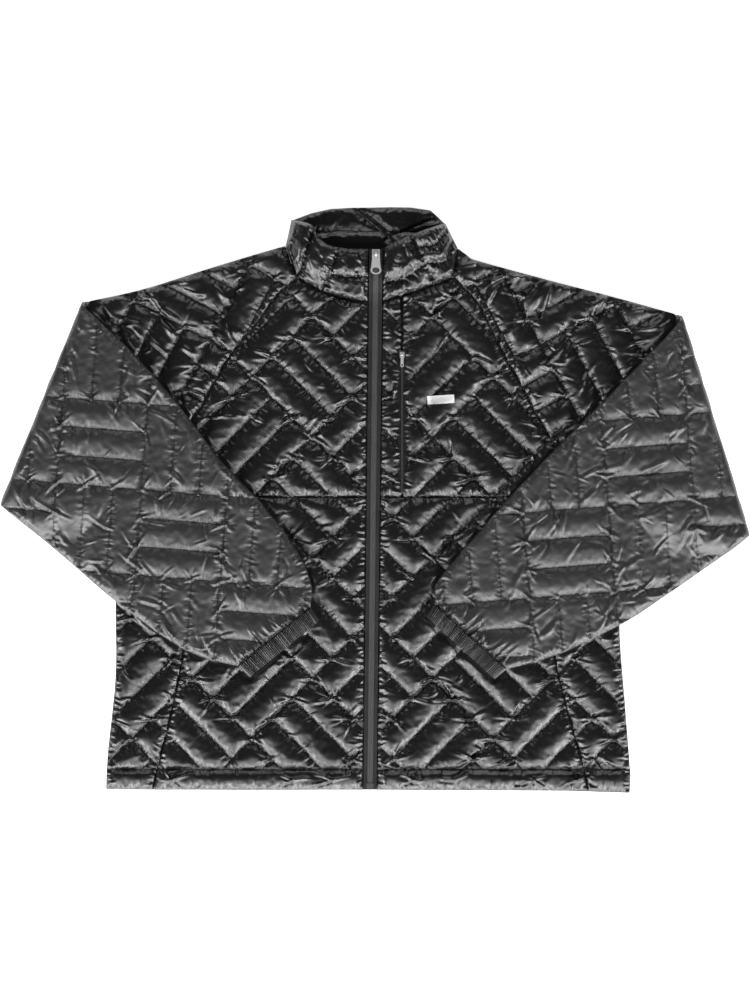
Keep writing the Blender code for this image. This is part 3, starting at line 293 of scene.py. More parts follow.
def quilt_lines(name, lowest, highest):
    """The stitch lines of a quilt over a box of the page, each as points one step apart."""
    parity = QUILT_FRAMES[name][3]
    corners = to_quilt([lowest, highest, (lowest[0], highest[1]), (highest[0], lowest[1])], name)
    first, last = np.floor(corners.min(0) / BLOCK).astype(int), np.floor(corners.max(0) / BLOCK).astype(int)
    lines = []
    for i in range(first[0], last[0] + 1):
        for j in range(first[1], last[1] + 1):
            for across in np.arange(0, BLOCK + 1, CHANNEL):
                along = np.linspace(0, BLOCK, round(BLOCK / STEP) + 1)
                line = np.stack([along, np.full_like(along, across)], axis=1)
                if (i + j + parity) % 2:
                    line = line[:, ::-1]
                lines.append(from_quilt(line + (i * BLOCK, j * BLOCK), name))
    return lines


def pucker_map(mesh, flat, faces, lines, step=1.5):
    """Gives each corner of the first faces its place along the nearest seam or stitch line, and its distance."""
    marks, along, tangents = [], [], []
    for number, line in enumerate(lines):
        line = even(line, step)
        away = np.gradient(line, axis=0)
        marks.append(line)
        along.append(997.0 * number + step * np.arange(len(line)))
        tangents.append(away / np.linalg.norm(away, axis=1)[:, None])
    marks, along, tangents = np.vstack(marks), np.concatenate(along), np.vstack(tangents)
    tree = KDTree(len(marks))
    for number, mark in enumerate(marks):
        tree.insert((*mark, 0), number)
    tree.balance()
    faces = np.array(faces)
    nearest = np.array([tree.find((*middle, 0))[1] for middle in flat[faces].mean(1)])
    to = flat[faces] - marks[nearest][:, None]
    tangent = tangents[nearest][:, None]
    places = np.zeros((len(mesh.loops), 2))
    across = np.abs(to[..., 0] * tangent[..., 1] - to[..., 1] * tangent[..., 0])
    places[:3 * len(faces)] = np.stack([along[nearest][:, None] + (to * tangent).sum(2), across],
                                       axis=2).reshape(-1, 2)
    mesh.uv_layers.new(name="pucker").data.foreach_set("uv", places.ravel())


def net(loop, lines, fine, step=STEP):
    """A flat net of triangles over an outline: (points, faces, rim, pinned, stitches).

    It follows the lines, and is coarse where fine(points) is false. stitches are pairs of points on the lines.
    """
    rim = even(closed(loop), step)[:-1]
    found, inner, edges = {}, [], []
    for line in lines:
        kept = (depth_inside(line, loop) > 0.7 * step) & fine(line)
        last = None
        for point, keep in zip(line, kept):
            if not keep:
                last = None
                continue
            key = (round(point[0] * 2), round(point[1] * 2))
            if key not in found:
                found[key] = len(inner)
                inner.append(point)
            if last is not None and last != found[key]:
                edges.append((last, found[key]))
            last = found[key]
    tree = KDTree(len(rim) + len(inner))
    for number, point in enumerate([*rim, *inner]):
        tree.insert((*point, 0), number)
    tree.balance()
    low, high = loop.min(0), loop.max(0)
    rows = np.arange(low[1], high[1], step * math.sqrt(0.75))
    grid = [(x, y, r % 4 == 0 and c % 4 == 0) for r, y in enumerate(rows)
            for c, x in enumerate(np.arange(low[0] + r % 2 * step / 2, high[0], step))]
    fill, coarse = np.array([g[:2] for g in grid]), np.array([g[2] for g in grid])
    fill_ok = depth_inside(fill, loop) > 0.6 * step
    fill, coarse = fill[fill_ok], coarse[fill_ok]
    wanted = fine(fill) | coarse
    fill = [p for p in fill[wanted] if tree.find((*p, 0))[2] > 0.62 * step]
    points = [*rim, *inner, *fill]
    count = len(rim)
    constraints = [(i, (i + 1) % count) for i in range(count)]
    constraints += list({(a + count, b + count) for a, b in edges})
    out, _, faces, came_from, _, _ = delaunay_2d_cdt([Vector(p) for p in points], constraints, [], 1, 1e-4)
    place = {old: new for new, olds in enumerate(came_from) for old in olds}
    on_line = np.array([not olds or min(olds) < count + len(inner) for olds in came_from])
    sides = {pair for f in faces for pair in ((f[0], f[1]), (f[1], f[2]), (f[2], f[0]))}
    stitches = [(place[a + count], place[b + count]) for a, b in edges]
    stitches = [pair for pair in stitches if pair in sides or pair[::-1] in sides]
    return (np.array([tuple(p) for p in out]), [tuple(f) for f in faces], [place[i] for i in range(count)],
            on_line, stitches)


def refined(flat, faces, rim, pinned, stitches, moved):
    """The net with each triangle cut in four, and the new points eased into a smooth surface."""
    faces, rim = np.array(faces), np.array(rim)
    edges = np.sort(np.concatenate([faces[:, [0, 1]], faces[:, [1, 2]], faces[:, [2, 0]]]), axis=1)
    unique, index = np.unique(edges, axis=0, return_inverse=True)
    index = index.ravel()
    count, third = len(flat), len(faces)
    ab, bc, ca = (count + index[k * third:(k + 1) * third] for k in range(3))
    a, b, c = faces.T
    cut = np.concatenate([np.stack(t, axis=1) for t in ((a, ab, ca), (b, bc, ab), (c, ca, bc), (ab, bc, ca))])
    number = {(int(p), int(q)): count + i for i, (p, q) in enumerate(unique)}
    rim_edges = list(zip(rim.tolist(), np.roll(rim, -1).tolist()))
    mid = {(p, q): number[(min(p, q), max(p, q))] for p, q in [*stitches, *rim_edges]}
    held = np.concatenate([pinned, np.zeros(len(unique), bool)])
    held[list(mid.values())] = True
    points = np.vstack([flat, (flat[unique[:, 0]] + flat[unique[:, 1]]) / 2])
    moved = np.vstack([moved, (moved[unique[:, 0]] + moved[unique[:, 1]]) / 2])
    new_rim = [i for p, q in rim_edges for i in (p, mid[(p, q)])]
    new_stitches = [pair for p, q in stitches for pair in ((p, mid[(p, q)]), (mid[(p, q)], q))]
    return points, [tuple(f) for f in cut.tolist()], new_rim, held, new_stitches, eased(moved, cut, held, 3)


def eased(moved, faces, held, times):
    """Heights with the free points drawn to the mean of their neighbours."""
    ends = np.concatenate([faces[:, [0, 1]], faces[:, [1, 2]], faces[:, [2, 0]]])
    ends = np.vstack([ends, ends[:, ::-1]])
    number = np.bincount(ends[:, 0], minlength=len(moved))
    for _ in range(times):
        total = np.bincount(ends[:, 0], weights=moved[ends[:, 1], 2], minlength=len(moved))
        moved[~held, 2] = (total / np.maximum(number, 1))[~held]
    return moved


def filled(name, flat, faces, pinned, heights, growth, frames=12):
    """The net after a short cloth simulation, as points (x, y, height).

    Its lines are held, the cloth between them starts too large for its place by growth, and pressure stands for
    the padding. The numbers are those of light nylon.
    """
    most_shift, most_height = 1.6, 12.5
    start = np.column_stack([flat, np.maximum(heights, 0)])
    start[~pinned, 2] += random.uniform(0, 0.35, (~pinned).sum())
    mesh = bpy.data.meshes.new(name)
    mesh.from_pydata((start * MM).tolist(), [], faces)
    cloth = bpy.data.objects.new(name, mesh)
    bpy.context.scene.collection.objects.link(cloth)
    group = cloth.vertex_groups.new(name="held")
    group.add([int(i) for i in np.flatnonzero(pinned)], 1.0, "REPLACE")
    modifier = cloth.modifiers.new("cloth", "CLOTH")
    settings = modifier.settings
    settings.quality = 5
    settings.mass = 0.1
    settings.air_damping = 3
    settings.tension_stiffness = settings.compression_stiffness = 10
    settings.shear_stiffness = 3
    settings.bending_stiffness = 0.002
    settings.use_pressure = True
    settings.uniform_pressure_force = PRESSURE
    settings.shrink_min = -growth
    settings.vertex_group_mass = "held"
    settings.effector_weights.gravity = 0
    modifier.collision_settings.use_collision = False
    modifier.point_cache.frame_start = 1
    modifier.point_cache.frame_end = frames
    scene = bpy.context.scene
    for step in range(1, frames + 1):
        scene.frame_set(step)
    result = bpy.data.meshes.new_from_object(cloth.evaluated_get(bpy.context.evaluated_depsgraph_get()))
    moved = np.empty(len(result.vertices) * 3)
    result.vertices.foreach_get("co", moved)
    moved = moved.reshape(-1, 3) / MM
    scene.frame_set(1)
    bpy.data.objects.remove(cloth)
    bpy.data.meshes.remove(result)
    shift = moved - start
    moved[:, :2] = flat + np.clip(shift[:, :2], -most_shift, most_shift)
    moved[:, 2] = np.clip(moved[:, 2], 0, most_height)
    moved[pinned] = np.column_stack([flat, np.maximum(heights, 0)])[pinned]
    return moved


def shell(name, loop, lines, fine, heights_at, outer_at, lining_at, material, lining_marks=((), ()), step=STEP,
          growth=0.02, relief=None):
    """A quilted cloth piece: its filled outer side, its plain lining and the edge between.

    Returns (object, stitch ends). outer_at(points, heights) and lining_at(points) put flat points in space.
    Creases (relief) come up over the first few millimetres from the edge.
    """
    crease_rise = 3.0
    loop = inset(loop, GAP / 2)
    flat, faces, rim, pinned, stitches = net(loop, lines, fine, step)
    heights = heights_at(flat, depth_inside(flat, loop))
    puffed = filled(name, flat, faces, pinned, heights, growth)
    if relief is not None:
        flat, faces, rim, pinned, stitches, puffed = refined(flat, faces, rim, pinned, stitches, puffed)
        puffed[:, 2] = np.maximum(puffed[:, 2] + relief(flat) * crown(depth_inside(flat, loop) / crease_rise), 0)
    outer = outer_at(puffed[:, :2], puffed[:, 2])
    marks, mark_edges = lining_marks
    count = len(rim)
    lines_in = [(i, (i + 1) % count) for i in range(count)]
    lines_in += [tuple(count + e if e >= 0 else -1 - e for e in pair) for pair in mark_edges]
    low_points = [Vector(p) for p in [*flat[rim], *marks]]
    low, _, low_faces, came_from, _, _ = delaunay_2d_cdt(low_points, lines_in, [], 1, 1e-4)
    place = {old: new for new, olds in enumerate(came_from) for old in olds}
    lining = lining_at(np.array([tuple(p) for p in low]))
    start = len(outer)
    all_faces = faces + [tuple(start + i for i in f) for f in low_faces]
    for i in range(count):
        j = (i + 1) % count
        all_faces.append((rim[i], rim[j], start + place[j], start + place[i]))
    made = mesh_object(name, np.vstack([outer, lining]), all_faces)
    made.data.materials.append(material)
    seen_lines = [line[depth_inside(line, loop) > 0] for line in lines]
    pucker_map(made.data, flat, faces, [closed(loop), *(line for line in seen_lines if len(line) > 2)])
    ends = np.array([[outer[a], outer[b]] for a, b in stitches]) if stitches else np.zeros((0, 2, 3))
    return made, ends


def level(z):
    """A flat lining at one height."""
    return lambda points: np.column_stack([points, np.full(len(points), z)])


def finish_cloth(made, node):
    """Puts a cloth piece on the jacket's body and hides the solid that it stands for."""
    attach(made, "jacket")
    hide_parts(node)


def stitch_puckers(tree, patches):
    """Fine puckers that run off seams and stitch lines, stronger in some places than in others."""
    pucker = tree.nodes.new("ShaderNodeUVMap")
    pucker.uv_map = "pucker"
    split = add_node(tree, "ShaderNodeSeparateXYZ", {"Vector": pucker.outputs["UV"]}).outputs
    scaled = {}
    for axis, pitch in (("X", 2.6), ("Y", 13.0)):
        part = add_node(tree, "ShaderNodeMath", {0: split[axis], 1: pitch})
        part.operation = "DIVIDE"
        scaled[axis] = part.outputs["Value"]
    stretched = add_node(tree, "ShaderNodeCombineXYZ", scaled).outputs["Vector"]
    noise = add_node(tree, "ShaderNodeTexNoise", {"Scale": 1.0, "Detail": 1.5, "Vector": stretched})
    fade = add_node(tree, "ShaderNodeMapRange",
                    {"From Max": 12.0, "To Min": 1.0, "To Max": 0.0, "Value": split["Y"]})
    fade.interpolation_type = "SMOOTHSTEP"
    start = add_node(tree, "ShaderNodeMapRange", {"From Max": 2.0, "To Min": 0.35, "Value": split["Y"]})
    uneven = add_node(tree, "ShaderNodeMapRange",
                      {"From Min": 0.35, "From Max": 0.65, "To Min": 0.35, "To Max": 1.5, "Value": patches})
    height = noise.outputs["Fac"]
    for factor in (fade, start, uneven):
        product = add_node(tree, "ShaderNodeMath", {0: height, 1: factor.outputs["Result"]})
        product.operation = "MULTIPLY"
        height = product.outputs["Value"]
    return height


def nylon(name, colour, roughness, bump, crumpled):
    """Satin woven nylon: a fine plain weave, crinkles and crumples, and puckers along its seams."""
    made = bpy.data.materials.new(name)
    made.use_nodes = True
    tree = made.node_tree
    place = tree.nodes.new("ShaderNodeTexCoord").outputs["Object"]
    patches = add_node(tree, "ShaderNodeTexNoise", {"Scale": 22.0, "Detail": 3.0, "Vector": place})
    patches = patches.outputs["Fac"]
    tint = add_node(tree, "ShaderNodeMixRGB", {"Color1": (*[0.85 * c for c in colour], 1),
                                               "Color2": (*[1.15 * c for c in colour], 1), "Fac": patches})
    weave = add_node(tree, "ShaderNodeTexWave", {"Scale": 900.0, "Distortion": 1.0, "Vector": place})
    crinkle = add_node(tree, "ShaderNodeTexNoise", {"Scale": 160.0, "Detail": 2.0, "Vector": place})
    crumple = tree.nodes.new("ShaderNodeTexNoise")
    crumple.noise_type = "RIDGED_MULTIFRACTAL"
    for socket, value in (("Scale", 26.0), ("Detail", 1.5), ("Distortion", 0.7)):
        crumple.inputs[socket].default_value = value
    tree.links.new(place, crumple.inputs["Vector"])
    normal = bumped(tree, weave.outputs["Fac"], 0.06, 0.0002)
    normal = bumped(tree, crinkle.outputs["Fac"], bump, 0.001, normal)
    normal = bumped(tree, crumple.outputs["Fac"], crumpled, 0.0015, normal)
    normal = bumped(tree, stitch_puckers(tree, patches), 0.7, 0.0012, normal)
    shader = tree.nodes["Principled BSDF"]
    shader.inputs["Roughness"].default_value = roughness
    shader.inputs["Specular IOR Level"].default_value = 1.0
    tree.links.new(tint.outputs["Color"], shader.inputs["Base Color"])
    tree.links.new(normal, shader.inputs["Normal"])
    return made


def everywhere(points):
    return np.ones(len(points), bool)


def back_heights(points, depth):
    return PUFF * quilt_height(points, "back") * crown(depth / EDGE_ROLL)


def pressed_flat(points, heights):
    """Quilting that lies on the surface: its pads are flat and its stitch lines are grooves."""
    return np.column_stack([points, np.maximum(FLAT_PAD - 0.75 * heights, 0.0)])


SHELL = nylon("shell nylon", (0.0085, 0.008, 0.009), 0.35, 0.3, 0.25)
hem = smooth_run([RUNS["right"]["side"][-1], (-160, -348), (0, HEM_Y), (145, -347), RUNS["left"]["side"][-1]])
back_loop = joined(run("right", "side"), hem, run("left", "side")[::-1], run("left", "raglan")[::-1],
                   smooth_run(NECK_BACK)[::-1], run("right", "raglan"))

back, _ = shell("back_cloth", back_loop, quilt_lines("back", back_loop.min(0), back_loop.max(0)), everywhere,
                back_heights, pressed_flat, level(BACK_WALL), SHELL, step=BACK_STEP)
finish_cloth(back, "back")

# --- Fronts ---
# Seven quilted panels that lie on the back, joined by seams that pull their edges down and pucker the cloth. The
# hem is a rolled casing, the chest pocket is a slit in a seam, and what the forearms cover is pressed flat.

RUNS["right"] |= {
    "neck_outer": [(-91.8, 265), (-63.6, 249), (-32.4, 239.3)],
    "waist_outer": [(-306, 2), (-224, 3)],
    "pocket": [(-224, 3), (-226, -120), (-228.8, -179), (-243.2, -253), (-260.9, -324), (-266, -347.5)],
    "hem_outer": [(-322, -347), (-266, -347.5)],
    "fold": [(-352.5, 235), (-449.4, -4.8)],
    "arm_upper": [(-352.5, 235), (-288.8, 175), (-231, 108.8), (-184.8, 47.4), (-139.3, 0.2), (-110.6, -35.2),
                  (-85.4, -73.8), (-75.4, -102.5), (-76.8, -129)],
    "arm_lower": [(-449.4, -4.8), (-402.5, -43.8), (-330, -104.8), (-268, -153), (-222, -182), (-190, -193),
                  (-163, -199)],
    "cuff_mouth": [(-66, -144), (-149.4, -212)],
}
RUNS["left"] |= {
    "neck_outer": [(92.4, 266), (70.8, 257), (32.4, 244)],
    "waist_outer": [(294, 2), (208, 3)],
    "pocket": [(208, 3), (210, -120), (214.8, -188), (226.9, -240), (249.8, -321.6), (255, -349)],
    "hem_outer": [(305, -351.4), (255, -349)],
    "fold": [(369.5, 219), (449.4, -40.9)],
    "arm_upper": [(369.5, 219), (345.5, 192.7), (281.2, 126.2), (214.7, 59.9), (166, 8.9), (112.7, -51.8),
                  (77.8, -92.2), (68.5, -112), (71, -125)],
    "arm_lower": [(449.4, -40.9), (411.8, -70.9), (318, -135), (241.2, -175.2), (204.6, -189.5), (156, -203)],
    "cuff_mouth": [(61.2, -139.8), (142.5, -214)],
}
QUILT_FRAMES |= {"front_right": (-3.0, 2.0, 45.0, 0), "front_left": (-3.0, 2.0, 45.0, 1)}
FRONT_BASE = BACK_WALL + GAP
SEAM_WALL = 1.5  # a quilted layer where it is stitched
UNDER_ARM = 5.0  # room between a front and the forearm that lies on it
PRESS_EDGE = 7.0  # over which the cloth comes up beside a forearm
HEM_STITCH_Y = -322.8
HEM_ROLL = 5.5  # height of the rolled casing
NECK_Y = 237.0
WAIST_Y = 3.0
ZIP_TOP_Y = 299.4
ZIP_X = {"hem": -6.0, "top": 1.2}
TAPE_HALF = 8.0
POCKET_X = 32.4
POCKET_SLIT = {"half": 1.2, "closed": 184.0, "open": 179.0}
POCKET_LIP = {"height": 3.4, "reach": 10.0, "top": 8.0, "low": 6.0}  # the welt, and how far it takes to rise
stitch_ends = []


def ease(x):
    x = np.clip(x, 0, 1)
    return x * x * (3 - 2 * x)


def zip_x(y):
    return ZIP_X["hem"] + (y - HEM_Y) / (ZIP_TOP_Y - HEM_Y) * (ZIP_X["top"] - ZIP_X["hem"])


def zip_run(side, y_from, y_to):
    off = SIDES[side] * TAPE_HALF
    return smooth_run([(zip_x(y_from) + off, y_from), (zip_x(y_to) + off, y_to)])


def covered_outline(side):
    """What the forearm and its cuff lie over."""
    runs = RUNS[side]
    return joined(run(side, "arm_upper"), smooth_run([runs["arm_upper"][-1], runs["cuff_mouth"][0]]),
                  run(side, "cuff_mouth"), smooth_run([runs["cuff_mouth"][1], runs["arm_lower"][-1]]),
                  run(side, "arm_lower")[::-1], run(side, "fold")[::-1])


COVERED = {side: covered_outline(side) for side in SIDES}


def pressed(points):
    """1 where a forearm lies on a front, 0 a little way clear of it."""
    near = np.maximum(*(depth_inside(points, COVERED[side]) for side in SIDES))
    return ease((near + PRESS_EDGE) / PRESS_EDGE)


def relief_of(points, creases):
    """The height of creases at points.

    A crease is a row (x, y, direction in degrees, length, height, half width, bow, soft): a ridge with a trough
    on one side. It starts at its point, or comes up softly from it, and fades along its length.
    """
    z = np.zeros(len(points))
    order = np.argsort(points[:, 1])
    rows = points[order, 1]
    for x, y, turn, length, height, width, bow, soft in creases:
        c, s = math.cos(math.radians(turn)), math.sin(math.radians(turn))
        reach = length + 4 * width
        low, high = np.searchsorted(rows, (y - reach, y + reach))
        near = order[low:high]
        near = near[np.abs(points[near, 0] - x) < reach]
        d = points[near] - (x, y)
        share = (d[:, 0] * c + d[:, 1] * s) / length
        across = (-d[:, 0] * s + d[:, 1] * c - 4 * bow * length * share * (1 - share)) / width
        start = ease(share / 0.35) if soft else ease(share / 0.12 + 0.6) * (share > -0.1)
        fade = start * ease((1 - share) / 0.65)
        z[near] += height * fade * (np.exp(-across**2) - 0.6 * np.exp(-(across - 1.6) ** 2))
    return z


def stars(name, loop, chance, rays, length, height, lean, spread):
    """Creases that run out from the ends of stitch lines, most of them near one direction."""
    found = []
    grid = to_quilt(loop, name)
    first, last = np.floor(grid.min(0) / CHANNEL).astype(int), np.ceil(grid.max(0) / CHANNEL).astype(int)
    for i in range(first[0], last[0] + 1):
        for j in range(first[1], last[1] + 1):
            if random.random() > chance or (i % 3 and j % 3):
                continue
            x, y = from_quilt([(i * CHANNEL, j * CHANNEL)], name)[0]
            for _ in range(random.integers(*rays)):
                turn = lean + random.normal(0, spread) + 180 * random.integers(0, 2)
                found.append((x, y, turn, random.uniform(*length), random.uniform(*height),
                              random.uniform(1.3, 2.3), random.normal(0, 0.04), 0))
    return found


def folds(loop, room, length, height, width, lean, spread):
    """Soft folds strewn over a piece, one to each room (mm2)."""
    low, high = loop.min(0), loop.max(0)
    found = []
    for _ in range(int((high - low).prod() / room)):
        x, y = random.uniform(low, high)
        turn = lean + random.normal(0, spread) + 180 * random.integers(0, 2)
        found.append((x, y, turn, random.uniform(*length), random.uniform(*height), random.uniform(*width),
                      random.normal(0, 0.06), 1))
    return found


def gathers(line, spacing, length, height):
    """Short creases that run off a seam on both sides, unevenly spaced."""
    found = []
    line = even(line, 1.0)
    at = random.uniform(0, spacing)
    while at < len(line) - 2:
        k = int(at)
        dx, dy = line[k + 1] - line[k]
        turn = math.degrees(math.atan2(dx, -dy)) + random.normal(0, 16)
        for way in (0, 180):
            if random.random() < 0.8:
                found.append((*line[k], turn + way, random.uniform(*length), random.uniform(*height),
                              random.uniform(1.2, 2.0), random.normal(0, 0.05), 0))
        at += spacing * random.uniform(0.5, 1.6)
    return found


def front_outlines():
    """The seven panels as they lie, from the seams around them."""
    outlines = {}
    for side in SIDES:
        runs, zip_chest = RUNS[side], zip_run(side, NECK_Y, WAIST_Y)
        neck_inner = smooth_run([runs["neck_outer"][-1], tuple(zip_chest[0])])
        waist_inner = smooth_run([runs["waist_outer"][-1], tuple(zip_chest[-1])])
        hem_inner = smooth_run([runs["hem_outer"][-1], tuple(zip_run(side, WAIST_Y, HEM_Y)[-1])])
        outlines[f"front_{side}_lower"] = joined(run(side, "pocket"), hem_inner, zip_run(side, HEM_Y, WAIST_Y),
                                                 waist_inner[::-1])
        outlines[f"front_{side}_side"] = joined(run(side, "side"), run(side, "hem_outer"),
                                                run(side, "pocket")[::-1], run(side, "waist_outer")[::-1])
        if side == "right":
            outlines["front_right_chest"] = joined(
                run(side, "raglan")[::-1], run(side, "neck_outer"), neck_inner, zip_chest, waist_inner[::-1],
                run(side, "waist_outer")[::-1])
            continue
        seam = smooth_run([runs["neck_outer"][-1], (POCKET_X, POCKET_SLIT["closed"])])
        slits = {}
        for edge in (-1, 1):
            x = POCKET_X + edge * POCKET_SLIT["half"]
            slits[edge] = [smooth_run([(POCKET_X, POCKET_SLIT["closed"]), (x, POCKET_SLIT["open"])]),
                           smooth_run([(x, POCKET_SLIT["open"]), (x, WAIST_Y)])]
        outlines["front_left_placket"] = joined(
            *(r[::-1] for r in slits[-1][::-1]), seam[::-1], neck_inner, zip_chest,
            smooth_run([tuple(zip_chest[-1]), tuple(slits[-1][1][-1])]))
        outlines["front_left_chest"] = joined(
            run(side, "raglan")[::-1], run(side, "neck_outer"), seam, *slits[1],
            smooth_run([tuple(slits[1][1][-1]), runs["waist_outer"][-1]]), run(side, "waist_outer")[::-1])
    return outlines


def clear_of_arms(points):
    return pressed(points) < 0.98


def front_piece(node, loop):
    group = "front_right" if "right" in node else "front_left"
    lines = [line[line[:, 1] > HEM_STITCH_Y - 1] for line in quilt_lines(group, loop.min(0), loop.max(0))]
    lines = [line for line in lines if len(line) > 1]
    if loop[:, 1].min() < HEM_STITCH_Y:
        lines.append(even([(loop[:, 0].min(), HEM_STITCH_Y), (loop[:, 0].max(), HEM_STITCH_Y)], STEP))

    def heights(points, depth):
        raised = PUFF * quilt_height(points, group) * crown((points[:, 1] - HEM_STITCH_Y) / EDGE_ROLL)
        share = np.clip((HEM_STITCH_Y - points[:, 1]) / (HEM_STITCH_Y - HEM_Y), 0, 1)
        raised += HEM_ROLL * np.sqrt(np.maximum(share * (1 - share) * 4, 0))
        return raised * crown(depth / EDGE_ROLL)

    def outer(points, height):
        share = pressed(points)
        thick = SEAM_WALL + height
        thick += share * (np.minimum(thick, UNDER_ARM) - thick)
        beside = 1 - np.abs(points[:, 0] - POCKET_X) / POCKET_LIP["reach"]
        slit = ease((POCKET_SLIT["closed"] - points[:, 1]) / POCKET_LIP["top"])
        slit *= ease((points[:, 1] - WAIST_Y) / POCKET_LIP["low"])
        thick = np.maximum(thick, POCKET_LIP["height"] * ease(beside * 2) * slit)
        return np.column_stack([points, FRONT_BASE + thick])

    creases = stars(group, loop, chance=0.9, rays=(3, 8), length=(10, 34), height=(0.9, 2.3), lean=5, spread=32)
    creases += folds(loop, room=1900, length=(14, 38), height=(0.7, 1.9), width=(1.5, 2.8), lean=8, spread=40)
    creases += gathers(closed(loop), spacing=6.0, length=(5, 17), height=(0.6, 1.7))
    for line in lines:
        creases += gathers(line, spacing=8.0, length=(4, 13), height=(0.3, 1.0))
    made, ends = shell(f"{node}_cloth", loop, lines, clear_of_arms, heights, outer, level(FRONT_BASE), SHELL,
                       relief=lambda p: relief_of(p, creases) * (1 - pressed(p)))
    stitch_ends.append(ends)
    finish_cloth(made, node)
    return made


fronts = {node: front_piece(node, loop) for node, loop in front_outlines().items()}

# --- Sleeves ---
# Raglan sleeves of a front and a back half, quilted like the body. The back half, which shows on the forearm, has
# a lighter colour than the shell: painted light for the light that the forearms catch. Each half is cut flat from
# shoulder to cuff, filled, and folded back over itself across the fronts. The front half shows on the upper arm.

RUNS["right"] |= {
    "neck_sleeve": [(-106.8, 303.7), (-100, 283), (-91.8, 265)],
    "shoulder": [(-106.8, 303.7), (-141, 294), (-204.4, 274.7), (-278.4, 251.4), (-352.5, 235)],
    "underarm": [(-306, 2), (-449.4, -4.8)],
    "cuff_seam": [(-76.8, -129), (-163, -199)],
}
RUNS["left"] |= {
    "neck_sleeve": [(99, 301), (97.2, 287.4), (92.4, 266)],
    "shoulder": [(99, 301), (108.8, 290.4), (200.6, 264.6), (291.8, 240.8), (369.5, 219)],
    "underarm": [(294, 2), (449.4, -40.9)],
    "cuff_seam": [(71, -125), (156, -203)],
}
QUILT_FRAMES |= {
    "upper_right": (-150.0, 280.0, -28.0, 0),
    "upper_left": (150.0, 275.0, 28.0, 1),
    "forearm_right": (-380.0, 20.0, -4.5, 0),
    "forearm_left": (380.0, 0.0, 4.5, 1),
}
FOLD_WALL = 3.0  # a layer where it goes round the fold
FOLD_RADIUS = 10.2
FOLD_Z = 10.2
BACK_INNER_RADIUS = FOLD_RADIUS - BACK_WALL
FRONT_LINING_RADIUS = BACK_INNER_RADIUS - GAP - 0.2
ARM_UNDER_Z = FOLD_Z + FRONT_LINING_RADIUS - FOLD_WALL
SAG_START = 9.0  # beyond what holds the forearm up
SAG_RUN = 45.0
ARM_PUFF = {"back": 4.8, "front": 6.2}
ARM_EDGE_ROLL = 8.0
FOLD_EASE = 22.0  # over which the cloth thins towards the fold
UNDER_SIDE = {"wall": 3.6, "share": 0.15}  # the back half's pressed part, and how much of its pads it keeps
OVER_BEND = {"start": 0.62, "run": 0.6}  # where the back half's wall grows to its full height, in bends
# The shell's nylon painted lighter, for the back halves and cuffs: painted light for the light that the forearms
# catch.
SLEEVE_PAINTED_LIGHTER = nylon("sleeve nylon painted lighter", (0.042, 0.042, 0.044), 0.42, 0.3, 0.7)


class Fold:
    """The line that a sleeve is folded along. (t, a) is along it and outwards from it."""

    def __init__(self, side):
        top, bottom = (np.array(p, float) for p in RUNS[side]["fold"])
        self.top = top
        self.along = (bottom - top) / np.linalg.norm(bottom - top)
        self.out = np.array([self.along[1], -self.along[0]])
        if self.out[0] * SIDES[side] < 0:
            self.out = -self.out
        self.support = joined(run(side, "raglan"), run(side, "underarm"), run(side, "fold")[::-1],
                              run(side, "shoulder")[::-1], run(side, "neck_sleeve"))
        self.body = joined(run(side, "side"), smooth_run([RUNS[side]["side"][-1], (0, HEM_Y)]),
                           smooth_run([(0, HEM_Y), (0, NECK_Y)]),
                           smooth_run([(0, NECK_Y), RUNS[side]["raglan"][0]]), run(side, "raglan"))

    def lay(self, page):
        d = np.atleast_2d(np.asarray(page, float)) - self.top
        return np.stack([d @ self.along, d @ self.out], axis=1)

    def page(self, t, a):
        return self.top + np.outer(t, self.along) + np.outer(a, self.out)

    def sag(self, page):
        """How far the forearm comes down where nothing lies under it."""
        past = -np.maximum(depth_inside(page, self.support), depth_inside(page, self.body))
        return ARM_UNDER_Z * ease((past - SAG_START) / SAG_RUN)


def cut_at_fold(laid):
    """The part of a run inside the fold, ended where the cloth starts to bend."""
    if laid[0, 1] > laid[-1, 1]:
        laid = laid[::-1]
    inside = laid[laid[:, 1] < -FOLD_RADIUS - 2.0]
    a, b = inside[-1], laid[-1]
    share = (-FOLD_RADIUS - a[1]) / (b[1] - a[1])
    return np.vstack([inside, a + share * (b - a)])


def bend_marks(loop, bend):
    """Points and lines across the bend, which the coarse lining needs to follow it."""
    points, edges = [], []
    for share in np.linspace(0, 1, 9):
        y = bend * share
        xs = loop[np.abs(loop[:, 1] - y) < 60, 0]
        row = [(x, y) for x in np.linspace(xs.min() + 4, xs.max() - 4, 12)]
        row = [p for p in row if depth_inside([p], loop)[0] > 2.0]
        edges += [(len(points) + i, len(points) + i + 1) for i in range(len(row) - 1)]
        points += row
    return points, edges


def sag_marks(loop, pattern, fold, bend):
    """Points that the lining needs where the forearm comes down beside what it lies on."""
    grid = np.array([(x, y) for x in np.arange(-440, 441, 12.0) for y in np.arange(-200, 30, 12.0)])
    sag = fold.sag(grid)
    grid = grid[(sag > 0.02) & (sag < ARM_UNDER_Z - 0.02)]
    p = pattern(fold.lay(grid), True)
    fits = (depth_inside(p, loop) > 3) & (p[:, 1] > bend + 4)
    return [tuple(q) for q in p[fits]]


